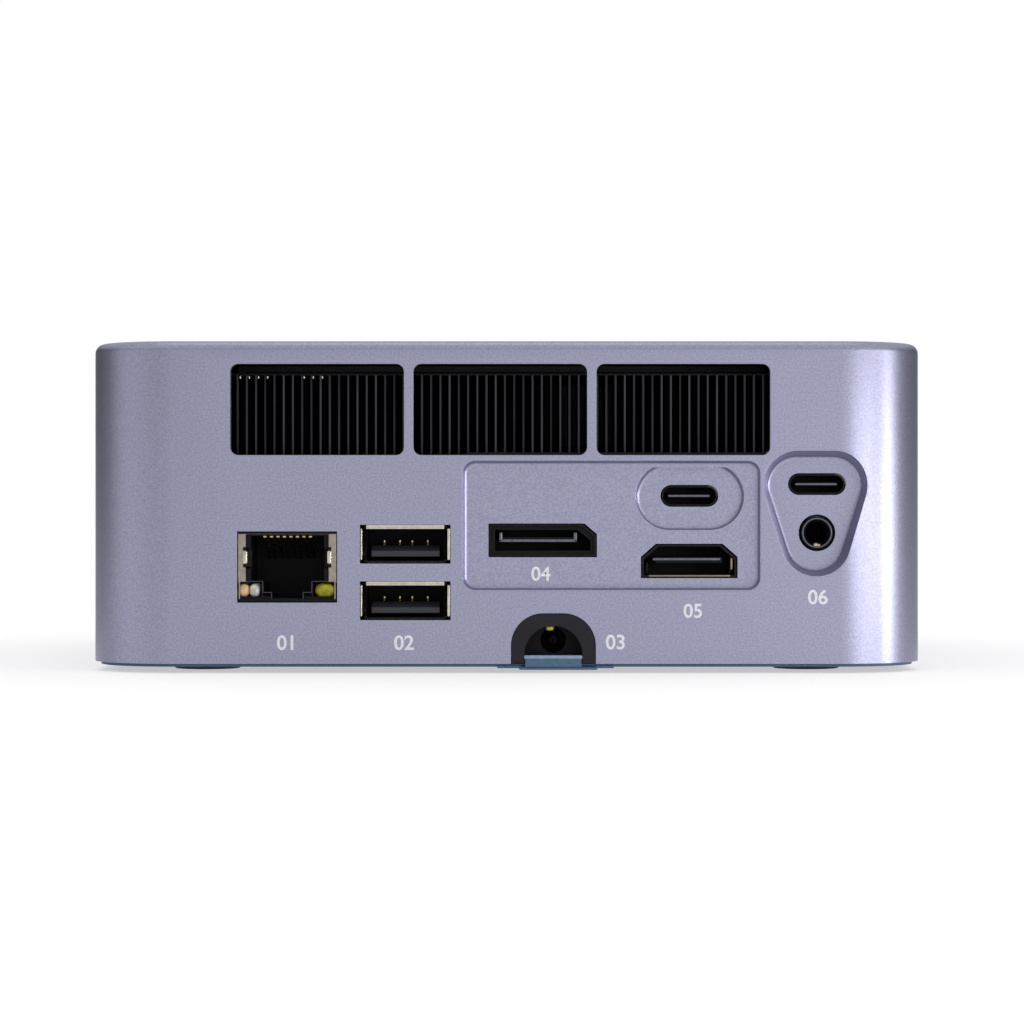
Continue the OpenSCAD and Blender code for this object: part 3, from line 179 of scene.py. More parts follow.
@dataclass(frozen=True)
class Finish:
    """One surface finish: what it is made of and how its surface was made.

    The two colours are mixed by the grain. grain_mm holds its real sizes in millimetres: the width
    of its coarse and of its fine pattern, and the height of its relief.
    """

    name: str
    colour: str
    shade: str
    grain: Grain = Grain.MOULDED
    grain_mm: Triple = (0.5, 0.2, 0.003)
    metallic: float = 0.0
    roughness: float = 0.5
    spread: float = 0.05
    contrast: float = 2.0
    ior: float = 1.5
    coat: float = 0.0

    def noise(self, tree: Tree, place: Socket, size_mm: float, detail: float = 2.0) -> Socket:
        """A grey noise whose features are about size_mm wide."""
        return add_node(tree, "ShaderNodeTexNoise", {
            "Vector": place, "Scale": per_mm(size_mm), "Detail": detail}).outputs[0]

    def fine_pattern(self, tree: Tree, place: Socket) -> Socket:
        """The finest pattern, 0 to 1, at the Object coordinates; it moves gloss and height."""
        if self.grain is Grain.BLASTED:
            return add_node(tree, "ShaderNodeTexVoronoi", {
                "Vector": place, "Scale": per_mm(self.grain_mm[1]), "Randomness": 1.0},
                feature="SMOOTH_F1").outputs["Distance"]
        if self.grain is Grain.DRAWN:
            place = add_node(tree, "ShaderNodeMapping", {
                "Vector": place, "Scale": DRAWN_STRETCH}).outputs[0]
        if self.grain is Grain.WOVEN:
            waves = [add_node(tree, "ShaderNodeTexWave", {
                "Vector": place, "Scale": WEAVE_PER_SIZE * per_mm(self.grain_mm[1]),
                "Distortion": 0.4},
                bands_direction=axis).outputs["Fac"] for axis in ("X", "Y")]
            return maths(tree, "MULTIPLY", *waves)
        return self.noise(tree, place, self.grain_mm[1], 3.0)

    def tint(self, tree: Tree, place: Socket) -> Socket:
        """The two colours, mixed by the coarse grain at the Object coordinates."""
        wide = place
        if self.grain is Grain.STAMPED:
            wide = add_node(tree, "ShaderNodeMapping", {
                "Vector": place, "Scale": FIN_STRETCH}).outputs[0]
        half = 0.5 / self.contrast
        share = add_node(tree, "ShaderNodeMapRange", {
            "Value": self.noise(tree, wide, self.grain_mm[0]), "From Min": 0.5 - half,
            "From Max": 0.5 + half}).outputs[0]
        if self.grain is Grain.TARNISHED:
            patches = self.noise(tree, place, PATCH_PER_GRAIN * self.grain_mm[0], 4.0)
            share = maths(tree, "MULTIPLY", share, patches)
        return add_node(tree, "ShaderNodeMix", {
            "Factor": share, 6: linear(self.colour), 7: linear(self.shade)},
            data_type="RGBA").outputs[2]

    @cache
    def material(self) -> bpy.types.Material:
        """The material, built at its first use: the tint, and the pattern in gloss and height."""
        material = bpy.data.materials.new(self.name)
        tree = empty_tree(material)
        place = add_node(tree, "ShaderNodeTexCoord").outputs["Object"]
        fine = self.fine_pattern(tree, place)
        gloss = add_node(tree, "ShaderNodeMapRange", {
            "Value": fine, "To Min": self.roughness - self.spread,
            "To Max": self.roughness + self.spread})
        relief = add_node(tree, "ShaderNodeBump", {
            "Height": fine, "Distance": self.grain_mm[2] * MM, "Strength": 1.0})
        inputs = {"Base Color": self.tint(tree, place), "Roughness": gloss.outputs[0],
                  "Normal": relief.outputs[0], "Metallic": self.metallic,
                  "Coat Weight": self.coat, "Coat Roughness": COAT_ROUGHNESS}
        if self.metallic < 0.5:
            inputs["IOR"] = self.ior
        shader = add_node(tree, "ShaderNodeBsdfPrincipled", inputs)
        add_node(tree, "ShaderNodeOutputMaterial", {"Surface": shader.outputs[0]})
        return material


drawn_metal = partial(Finish, grain=Grain.DRAWN, grain_mm=(0.8, 0.15, 0.001), metallic=1.0,
                      roughness=0.36)
light_guide = partial(Finish, grain_mm=(0.9, 0.2, 0.001), roughness=0.3, coat=0.5, ior=1.49)

# Aluminium, bead-blasted and anodised grey-violet: matt, with an even bright speckle. The real
# dimples are about 0.1 mm wide and are drawn two to three times coarser, so that they show.
ALUMINIUM = Finish("bead_blasted_anodised_aluminium", "#9293ab", "#a3a3ba", Grain.BLASTED,
                   (0.3, 0.26, 0.008), metallic=0.85, roughness=0.37, contrast=3.0)
# Glass-filled nylon from a spark-eroded mould, slate blue: dull, with a soft grain.
COVER = Finish("moulded_slate_nylon", "#506e8e", "#46607e", grain_mm=(0.6, 0.25, 0.01),
               roughness=0.55)
# The same nylon, paler than the rest: painted highlight on the edge of the cover's tongue below the
# inlet, where the light falls.
LIT_COVER = Finish("slate_nylon_painted_highlight", "#93a9c0", "#7f97ae", grain_mm=(0.6, 0.25, 0.004),
                    roughness=0.4)
# Nitrile rubber: nearly black and quite matt, with dust in its grain.
RUBBER = Finish("moulded_nitrile_rubber", "#1b1b1d", "#28282a", grain_mm=(1.0, 0.3, 0.008),
                roughness=0.8, ior=1.52)
# Steel blackened in hot oil: dark and half glossy, so a screw's edges catch the light.
BLACK_STEEL = drawn_metal("blackened_steel", "#2b2b2e", "#3c3c40", grain_mm=(0.8, 0.2, 0.001))
# Steel sheet under bright nickel: slightly warm, with faint drawing lines.
NICKEL = drawn_metal("nickel_plated_sheet", "#d3cdc0", "#b9b2a4", roughness=0.26, spread=0.07)
# The network socket's plates: duller and browner than fresh plating.
DULL_NICKEL = drawn_metal("dulled_nickel_sheet", "#a59a90", "#8f857b", spread=0.07)
# Sheet of the socket shells, brown-grey and near black: painted shade, as the shells' mouths lie in
# shadow. Soft reflections.
SHADED_PLATE = drawn_metal("dark_tin_plated_sheet", "#2c2a2b", "#211f20", grain_mm=(0.6, 0.15, 0.002))
# The same sheet, tan: painted highlight where the shells' lips, rims and springs catch the light.
LIT_PLATE = drawn_metal("rubbed_tin_plated_sheet", "#94866f", "#7c6f5c",
                           grain_mm=(0.6, 0.15, 0.002))
# Grey steel of the type C tongues' plates, also painted as highlight on the display tongues' fronts
# and in the round socket's lip: cool mid grey.
GREY_STEEL_AND_HIGHLIGHT = drawn_metal("burnished_steel_insert", "#70727c", "#5c5e68", roughness=0.34,
                        grain_mm=(0.5, 0.15, 0.001))
# Bronze springs flashed with gold: warm, with narrow highlights.
GOLD = drawn_metal("thin_gold_on_bronze", "#cdbf94", "#a8986c", roughness=0.28,
                   grain_mm=(0.4, 0.12, 0.0005))
# Steel pin deep in the inlet, painted nearly black: painted shade of the dark throat, so it gives
# no highlight.
SHADED_PIN = Finish("inlet_pin_painted_shade", "#0c0c0e", "#141417", grain_mm=(0.5, 0.15, 0.001),
                   metallic=1.0)
# Brass of the power spring: greenish yellow and half matt.
BRASS = Finish("brass_power_spring", "#dcd668", "#b8ac3c", grain_mm=(0.4, 0.12, 0.001),
               metallic=0.6, roughness=0.4)
# Bare copper, gone brown in patches where air and fingers reached it.
COPPER = Finish("tarnished_copper", "#cf8f6a", "#96583c", Grain.TARNISHED, (0.5, 0.3, 0.001),
                metallic=1.0, roughness=0.36)
# Thin stamped aluminium, dark: dull dark grey at its cut edges.
FIN = Finish("dark_grey_aluminium_fin", "#47474c", "#232327", Grain.STAMPED, (1.6, 0.2, 0.002),
             metallic=1.0, roughness=0.45, contrast=2.5)
# Glass-filled nylon of the sockets' insulators: near black and half matt.
BLACK_NYLON = Finish("moulded_black_nylon", "#08080d", "#0e0e14", roughness=0.6, ior=1.27)
# The tongues' nylon, greyer, so they stand out of the dark sockets; the same grey paints the
# highlights on the edges of the housings round the light guides.
GREY_NYLON_AND_HIGHLIGHT = Finish("grey_nylon_and_painted_highlight", "#2f3039", "#28282f")
# The collar's nylon, worn matt and a little purple.
COLLAR_NYLON = Finish("worn_collar_nylon", "#16151c", "#1b1922", grain_mm=(0.7, 0.2, 0.006),
                      roughness=0.62, ior=1.36)
# The fan's glass-filled plastic: charcoal, with a soft mould grain.
FAN_PLASTIC = Finish("moulded_fan_plastic", "#1a1a1c", "#232326", grain_mm=(0.8, 0.25, 0.004),
                     roughness=0.45)
# Clear acrylic light guides with their lamps off: milky, with a gloss on the dome.
AMBER_GUIDE = light_guide("milky_acrylic_guide", "#f2cf9f", "#b98a58")
PALE_GUIDE = light_guide("pale_acrylic_guide", "#e2ddd6", "#a69e98")
GREEN_GUIDE = light_guide("green_acrylic_guide", "#bcb400", "#6c6a00", roughness=0.45, coat=0.1)
# Green solder mask over glass weave: glossy, with a faint square weave.
LAMINATE = Finish("solder_mask_on_glass_epoxy", "#123b2a", "#0d2b20", Grain.WOVEN,
                  (3.0, 0.5, 0.004), roughness=0.32, coat=0.3)
# Screen-printed ink: flat white, slightly broken by the grain of the metal under it.
WHITE_INK = Finish("screen_printed_white_ink", "#ffffff", "#dcdce8", grain_mm=(0.3, 0.2, 0.004),
                   roughness=0.6)

SLOT_FINISH: dict[str, Finish] = {
    "case_aluminium": ALUMINIUM, "cover_plastic": COVER, "foot_rubber": RUBBER,
    "screw_black": BLACK_STEEL, "screw_steel": NICKEL, "board_laminate": LAMINATE,
    "socket_steel": NICKEL, "socket_dark": SHADED_PLATE, "socket_black": BLACK_NYLON,
    "contact_gold": GOLD, "lamp_amber": AMBER_GUIDE, "lamp_green": GREEN_GUIDE,
    "tongue_grey": GREY_NYLON_AND_HIGHLIGHT, "fin_metal": FIN, "pipe_copper": COPPER, "fan_plastic": FAN_PLASTIC,
    "motor_copper": COPPER, "light_pipe": PALE_GUIDE,
}

SLOTS: dict[str, str] = {
    part["node"]: part["material_slot"] for part in frame["record"]["subparts"]}


def paint(piece: Piece, finish: Finish) -> None:
    """Gives the whole piece one finish."""
    mesh = piece.data
    mesh.materials.clear()
    mesh.materials.append(finish.material())
    mesh.polygons.foreach_set("material_index", np.zeros(len(mesh.polygons), np.int32))


def put(name: str, data: bpy.types.ID, place: Triple = (0.0, 0.0, 0.0)) -> Piece:
    """Puts an object with the given data into the scene, at a place in metres."""
    item = bpy.data.objects.new(name, data)
    item.location = place
    bpy.context.scene.collection.objects.link(item)
    return item


# ---- Shapes, in millimetres ----


def box_mm(node: str) -> tuple[Array, Array]:
    """The low and high corners of a frame node in millimetres."""
    low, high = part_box(node)
    return np.array(low) / MM, np.array(high) / MM


def middle_mm(node: str) -> Array:
    """The middle of a frame node's box in millimetres."""
    low, high = box_mm(node)
    return (low + high) / 2


def depths_mm(node: str, outward: int) -> Pair:
    """Depths of a node's outer and inner end; outward is -1 on the ports' side, 1 on the front."""
    low, high = box_mm(node)
    return (low[1], high[1]) if outward < 0 else (high[1], low[1])


def coordinates(mesh: bpy.types.Mesh) -> Array:
    """The mesh's points as an array of shape (n, 3), in its own unit."""
    flat = np.empty(3 * len(mesh.vertices))
    mesh.vertices.foreach_get("co", flat)
    return flat.reshape(-1, 3)


def round_outline(width: float, height: float, radius: float, steps: int = 7) -> Array:
    """Outline of a rectangle with round corners, counter-clockwise.

    Each corner is its centre plus radius times (cos t, sin t), with t over a quarter turn.

    Args:
        width, height, radius: across, upwards and of the corners.
        steps: points along each corner.

    Returns:
        Points as an array of shape (4 * steps, 2).
    """
    turn = np.linspace(0, np.pi / 2, steps)[None, :] + np.arange(4)[:, None] * np.pi / 2
    signs = np.array([[1, 1], [-1, 1], [-1, -1], [1, -1]])
    centres = signs * [width / 2 - radius, height / 2 - radius]
    points = centres[:, None, :] + radius * np.stack([np.cos(turn), np.sin(turn)], -1)
    return points.reshape(-1, 2)


def facing(outline: Array, x: float, y: Array | float, z: float) -> Array:
    """Stands a flat outline up at (x, z), at depth y: (u, v) goes to (x + u, y, z + v)."""
    depth = np.broadcast_to(y, outline.shape[:-1])
    return np.stack([x + outline[..., 0], depth, z + outline[..., 1]], -1)


def domed_pad(width: float, height: float, radius: float, x: float, z: float, back: float,
              rim: float, bulge: float, steps: int = 8) -> Array:
    """Rings of a pad that faces the ports' side: a straight wall and an elliptic dome.

    The dome's ring at t, from 0 to nearly a quarter turn, is the outline times cos t, at
    depth rim - bulge * sin t.

    Args:
        width, height, radius: of the outline and its corners.
        x, z: its centre.
        back, rim: depths of the pad's back and of the dome's start.
        bulge: how far the dome stands out of its rim.
        steps: rings over the dome.

    Returns:
        Rings as an array of shape (steps + 1, n, 3), from the back to the crown.
    """
    outline = round_outline(width, height, radius)
    t = np.linspace(0, 0.985 * np.pi / 2, steps)
    dome = facing(outline * np.cos(t)[:, None, None], x, (rim - bulge * np.sin(t))[:, None], z)
    return np.concatenate([facing(outline, x, back, z)[None], dome])


def soft_plate(width: float, height: float, radius: float, x: float, z: float, back: float,
               front: float, edge: float, steps: int = 4) -> Array:
    """Rings of a plate that faces the ports' side, its front edge rounded.

    The ring at t, over a quarter turn, is inset by edge * (1 - cos t), at depth
    front + edge * (1 - sin t).

    Args:
        width, height, radius: of the outline and its corners.
        x, z: its centre.
        back, front: depths of both faces.
        edge: radius of the front edge.
        steps: rings over that edge.

    Returns:
        Rings as an array of shape (steps + 1, n, 3), from the back to the front.
    """
    rings = [facing(round_outline(width, height, radius), x, back, z)]
    for turn in np.linspace(0, np.pi / 2, steps):
        inset = edge * (1 - math.cos(turn))
        outline = round_outline(width - 2 * inset, height - 2 * inset, max(radius - inset, 0.02))
        rings.append(facing(outline, x, front + edge * (1 - math.sin(turn)), z))
    return np.stack(rings)


def bent_strip(path: Array, x: Array | float, width: Array | float, thickness: float) -> Array:
    """Rings of a flat spring carried along a path in the Y-Z plane.

    At each point the section is a rectangle with cut corners: the width lies along X and the
    thickness along the path's normal, which is its direction turned by a quarter.

    Args:
        path: points (y, z), shape (n, 2).
        x: centre across, one value or one for each point.
        width: across, one value or one for each point.
        thickness: of the metal.

    Returns:
        Rings of shape (n, 8, 3).
    """
    along = np.gradient(path, axis=0)
    along /= np.linalg.norm(along, axis=1, keepdims=True)
    normal = np.stack([-along[:, 1], along[:, 0]], 1)
    cut = 0.25 * thickness
    half_w = np.broadcast_to(width, len(path)) / 2
    across = np.stack([half_w, half_w - cut, cut - half_w, -half_w,
                       -half_w, cut - half_w, half_w - cut, half_w], 1)
    up = np.array([-0.5, -1, -1, -0.5, 0.5, 1, 1, 0.5]) * thickness / 2
    centre_x = np.broadcast_to(x, len(path))
    depth_height = path[:, None, :] + normal[:, None, :] * up[None, :, None]
    return np.concatenate([(centre_x[:, None] + across)[..., None], depth_height], -1)


def span_plate(left: float, right: float, low: float, high: float, front: float, back: float,
               edge: float = 0.05) -> Array:
    """A soft plate given by its sides: from left to right and from low to high."""
    radius = 0.4 * min(right - left, high - low)
    return soft_plate(right - left, high - low, radius, (left + right) / 2, (low + high) / 2, back,
                      front, min(edge, radius))


def ring_tube(radius: float, thick: float, x: float, y: float, z: float,
              around: int = 48, steps: int = 10) -> Array:
    """Grid of a round ring that faces the ports' side.

    The point at (a, b) is (radius + thick * cos b) times (cos a, sin a), at y + thick * sin b.
    """
    a = np.linspace(0, 2 * np.pi, around, endpoint=False)[:, None]
    b = np.linspace(0, 2 * np.pi, steps, endpoint=False)[None, :]
    flat = (radius + thick * np.cos(b))[..., None] * np.stack([np.cos(a), np.sin(a)], -1)
    return facing(flat, x, y + thick * np.sin(b), z)


def skin(rings: Array, closed: bool = False) -> tuple[Array, list]:
    """Turns rings to points and faces: quads between neighbours, and a flat cap at each end.

    Args:
        rings: points of shape (m, n, 3).
        closed: whether the last ring meets the first, so there are no caps.

    Returns:
        The points, and the faces as lists of point numbers.
    """
    m, n = rings.shape[:2]
    ring = np.arange(m if closed else m - 1)[:, None] * n
    after = (ring + n) % (m * n)
    point = np.arange(n)[None, :]
    beside = (point + 1) % n
    faces = np.stack([ring + point, after + point, after + beside, ring + beside], -1)
    faces = faces.reshape(-1, 4).tolist()
    if not closed:
        faces += [list(range(n)), list(range((m - 1) * n, m * n))]
    return rings.reshape(-1, 3), faces


def finish_mesh(mesh: bpy.types.Mesh, angle: float) -> None:
    """Merges doubles, turns faces outwards, and shades smooth between edges under the angle."""
    shape = bmesh.new()
    shape.from_mesh(mesh)
    bmesh.ops.remove_doubles(shape, verts=shape.verts, dist=1e-7)
    bmesh.ops.recalc_face_normals(shape, faces=shape.faces)
    shape.to_mesh(mesh)
    shape.free()
    mesh.shade_smooth()
    mesh.set_sharp_from_angle(angle=math.radians(angle))


def place_piece(name: str, mesh: bpy.types.Mesh, finish: Finish, body: str,
                replaced: tuple[str, ...] = ()) -> Piece:
    """Puts a mesh into the scene as a piece of the object.

    Args:
        name: of the piece.
        mesh: whose points are in their final place.
        finish: of the whole piece.
        body: that the piece moves with.
        replaced: the frame nodes that it stands for.

    Returns:
        The piece.
    """
    piece = put(name, mesh)
    paint(piece, finish)
    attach(piece, body)
    if replaced:
        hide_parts(*replaced)
    return piece


def bevel(piece: Piece, width_mm: float, segments: int = 2) -> None:
    """Rounds a piece's sharp edges with a Bevel of the given width."""
    edge = piece.modifiers.new("edge", "BEVEL")
    edge.width = width_mm * MM
    edge.segments = segments
    edge.limit_method = "ANGLE"
    edge.angle_limit = math.radians(SHARP_DEG)
    edge.use_clamp_overlap = True
    edge.harden_normals = True


def build(name: str, shells: list[Array], finish: Finish,
          replaced: tuple[str, ...] = (), body: str = CASE, angle: float = 40.0,
          closed: bool = False) -> Piece:
    """Makes one piece of one or more closed shells, each given as rings of points."""
    points, faces, start = [], [], 0
    for rings in shells:
        shell_points, shell_faces = skin(rings, closed)
        faces += [[index + start for index in face] for face in shell_faces]
        points.append(shell_points)
        start += len(shell_points)
    mesh = bpy.data.meshes.new(name)
    mesh.from_pydata((np.concatenate(points) * MM).tolist(), [], faces)
    finish_mesh(mesh, angle)
    return place_piece(name, mesh, finish, body, replaced)


def softened(node: str, width_mm: float, finish: Finish | None = None, segments: int = 2,
             join: bool = True) -> Piece:
    """A copy of a frame node with its doubles merged, its flat faces joined and its edges rounded.

    Args:
        node: the frame node that the copy stands for.
        width_mm: width of the rounding along each edge.
        finish: of the piece, or none for its slot's own.
        segments: faces across the rounding.
        join: whether flat neighbouring faces become one; not for thin frames round a hole.

    Returns:
        The new piece, riding as the node does.
    """
    source = frame["nodes"][node]
    mesh = source.data.copy()
    mesh.name = node + "_soft"
    shape = bmesh.new()
    shape.from_mesh(mesh)
    bmesh.ops.remove_doubles(shape, verts=shape.verts, dist=1e-6)
    if join:
        bmesh.ops.dissolve_limit(shape, angle_limit=math.radians(0.5), verts=shape.verts,
                                 edges=shape.edges)
    shape.to_mesh(mesh)
    shape.free()
    if "custom_normal" in mesh.attributes:
        mesh.attributes.remove(mesh.attributes["custom_normal"])
    mesh.shade_smooth()
    mesh.set_sharp_from_angle(angle=math.radians(SHARP_DEG))
    slot = SLOTS[node]
    piece = place_piece(node + "_soft", mesh, finish or SLOT_FINISH[slot],
                        source["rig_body"], (node,))
    bevel(piece, width_mm, segments)
    return piece


# ---- Sub-assemblies ----


@dataclass
class Housing:
    """The blasted aluminium case, its moulded bottom cover, the feet and the screws."""

    case_edge: float = 0.3
    cover_edge: float = 0.4
    foot_edge: float = 0.4
    screw_edge: float = 0.06

    def build(self) -> list[Piece]:
        """Rounds the edges of the housing's pieces."""
        pieces = [softened("upper_case", self.case_edge, segments=3),
                  softened("bottom_cover", self.cover_edge, segments=3)]
        pieces += [softened(f"foot_{i}", self.foot_edge, segments=4) for i in range(1, 5)]
        pieces += [softened(name, self.screw_edge) for name in ("cover_screws", "board_screws")]
        return pieces


@dataclass
class Recess:
    """One recess of the port face: its outline's corner centres and radius, its depth and base."""

    name: str
    centres: Array
    radius: float
    deep: float
    base: float


@dataclass
class Recesses:
    """The soft rims and coves of the three recesses of the port face.

    A rim is an arc that touches the face and the leaning wall, a cove one that touches the wall
    and the floor. Each lies a hair proud of the metal, so the crease under it doesn't show.
    """

    draft: float = 0.24
    rim_r: float = 0.42
    cove_r: float = 0.5
    proud: float = 0.012
    tail: float = 0.3
    panel_place: Pair = (16.8, 23.65)
    panel_size: Pair = (47.6, 20.7)
    panel_r: float = 2.0
    panel_deep: float = 1.4
    oval_size: Pair = (17.4, 11.0)
    oval_deep: float = 1.2
    pick_place: Pair = (49.6, 21.0)
    pick_size: Pair = (5.8, 9.1)
    pick_r: float = 5.5
    pick_deep: float = 3.6
    corner_r: float = 14.0

    def recesses(self) -> list[Recess]:
        """The display recess, the oval one in its floor, and the deep one at the right."""
        signs = np.array([[-1, -1], [1, -1], [1, 1], [-1, 1]])
        panel = signs * (np.array(self.panel_size) / 2 - self.panel_r) + self.panel_place
        middle = middle_mm("type_c_left_shell")[[0, 2]]
        reach = (self.oval_size[0] - self.oval_size[1]) / 2
        oval = middle + np.array([[-reach, 0], [reach, 0]])
        across, up = self.pick_size
        pick = np.array([[0, 0], [across / 2, up], [-across / 2, up]]) + self.pick_place
        face = CAD_BOX[0].y / MM
        return [Recess("display_recess", panel, self.panel_r, self.panel_deep, face),
                Recess("oval_recess", oval, self.oval_size[1] / 2, self.oval_deep,
                       face + self.panel_deep),
                Recess("right_recess", pick, self.pick_r, self.pick_deep, face)]

    def path(self, centres: Array, steps: int = 14) -> tuple[Array, Array]:
        """The way round equal circles, counter-clockwise: round each, and straight to the next.

        Round a circle the direction turns from the normal of the side that arrives to that of
        the side that leaves.

        Args:
            centres: of the circles, shape (m, 2).
            steps: directions for each circle.

        Returns:
            For each step of the way, its circle's centre and its direction as a unit vector.
        """
        ahead = np.roll(centres, -1, 0) - centres
        leaving = np.arctan2(ahead[:, 1], ahead[:, 0]) - np.pi / 2
        arriving = np.roll(leaving, 1)
        sweep = (leaving - arriving) % (2 * np.pi)
        turn = (arriving[:, None] + sweep[:, None] * np.linspace(0, 1, steps)).reshape(-1)
        return np.repeat(centres, steps, 0), np.stack([np.cos(turn), np.sin(turn)], 1)

    def profile(self, deep: float = 0.0) -> Array:
        """Closed profile of a rim, or of the cove at the foot of a wall of the given depth.

        Its middle lies as far from the wall as from the face or the floor, and its nine points
        are middle + radius * (cos t, sin t). u counts from the edge on to the face, v out of it.

        Args:
            deep: depth of the floor below the face, or 0 for the rim.

        Returns:
            The (u, v) points, tails and a hidden corner included.
        """
        lean = math.atan(self.draft)
        wall = np.array([-math.cos(lean), math.sin(lean)])
        down = np.array([-math.sin(lean), -math.cos(lean)])
        sunk = 2 * self.proud
        radius, reach = ((self.cove_r, self.cove_r + self.proud) if deep
                         else (self.rim_r, self.proud - self.rim_r))
        middle = np.array([(reach - wall[1] * (reach - deep)) / wall[0], reach - deep])
        first, last = (-lean, -np.pi / 2) if deep else (np.pi / 2, np.pi - lean)
        t = np.linspace(first, last, 9)
        curve = middle + radius * np.stack([np.cos(t), np.sin(t)], 1)
        if deep:
            ends = (curve[0] - self.tail * down - sunk * wall, curve[-1] - [self.tail, sunk],
                    [0.15 - self.draft * deep, -deep - 0.15])
        else:
            ends = (curve[0] + [self.tail, -sunk], curve[-1] + self.tail * down - sunk * wall,
                    middle + [0.15, -0.1])
        return np.concatenate([[ends[0]], curve, ends[1:]])

    def carry(self, recess: Recess, profile: Array, follows: bool) -> Array:
        """Carries a profile round a recess.

        A point is centre + (radius + u - draft * s) * direction at the depth base + s - v, where
        s is how far the case's round corner has fallen back there.

        Args:
            recess: whose outline is followed.
            profile: of (u, v) points.
            follows: whether it lies on the outer face, whose corner falls back.

        Returns:
            Points of shape (steps, len(profile), 3).
        """
        centres, ways = self.path(recess.centres)
        reach = recess.radius + profile[None, :, 0]
        fall = np.zeros_like(reach * ways[:, :1])
        for _ in range(3 if follows else 0):
            x = centres[:, :1] + (reach - self.draft * fall) * ways[:, :1]
            over = np.clip(x - CAD_BOX[1].x / MM + self.corner_r, 0, self.corner_r)
            fall = self.corner_r - np.sqrt(self.corner_r ** 2 - over ** 2)
        reach = reach - self.draft * fall
        return np.stack([centres[:, :1] + reach * ways[:, :1],
                         recess.base + fall - profile[None, :, 1],
                         centres[:, 1:] + reach * ways[:, 1:]], -1)

    def build(self) -> list[Piece]:
        """Lays a rim and a cove round each recess."""
        pieces = []
        for recess in self.recesses():
            shells = [self.carry(recess, self.profile(), recess.name != "oval_recess"),
                      self.carry(recess, self.profile(recess.deep), False)]
            pieces.append(build(recess.name + "_edges", shells, ALUMINIUM,
                                closed=True))
        return pieces


@dataclass
class Markings:
    """Plain numbers printed beside the sockets, where such a case names them."""

    face: float = -66.0
    height: float = 2.4
    small: float = 2.3
    low_row: float = 4.9
    raised: float = 0.008
    half_t: float = 0.006
    swell: float = 0.018

    def number(self, says: str, height: float, x: float, z: float, face: float) -> Piece:
        """Sets a number in the plain built-in type and prints it on a face.

        The flat letter's (u, v) goes to (x + k u, face, z + k v), where k brings it to its height.

        Args:
            says: the number.
            height: of its figures.
            x, z: the middle of its place.
            face: depth of the face.

        Returns:
            The ink as a thin solid.
        """
        curve = bpy.data.curves.new("number", "FONT")
        curve.body = says
        curve.extrude = 0.01
        curve.offset = self.swell
        curve.resolution_u = 6
        item = put("number", curve)
        bpy.context.view_layer.update()
        graph = bpy.context.evaluated_depsgraph_get()
        mesh = bpy.data.meshes.new_from_object(item.evaluated_get(graph))
        bpy.data.objects.remove(item)
        bpy.data.curves.remove(curve)
        flat = coordinates(mesh)
        low, high = flat.min(0), flat.max(0)
        u, v, side = (flat - (low + high) / 2).T * height / (high[1] - low[1])
        placed = np.stack([x + u, face - self.raised - self.half_t * np.sign(side), z + v], 1)
        mesh.vertices.foreach_set("co", (placed * MM).ravel())
        mesh.update()
        finish_mesh(mesh, 30.0)
        return place_piece("printed_number_" + says, mesh, WHITE_INK, CASE)

    def build(self) -> list[Piece]:
        """Prints the six numbers."""
        tall, small, row, face = self.height, self.small, self.low_row, self.face
        return [self.number(*place) for place in (
            ("01", tall, -35.4, row, face), ("02", tall, -16.4, row, face),
            ("03", tall, 17.4, row + 0.1, face),
            ("04", small, 5.5, 15.9, face + Recesses.panel_deep),
            ("05", small, 29.8, 10.0, face), ("06", tall, 49.8, 12.2, face))]


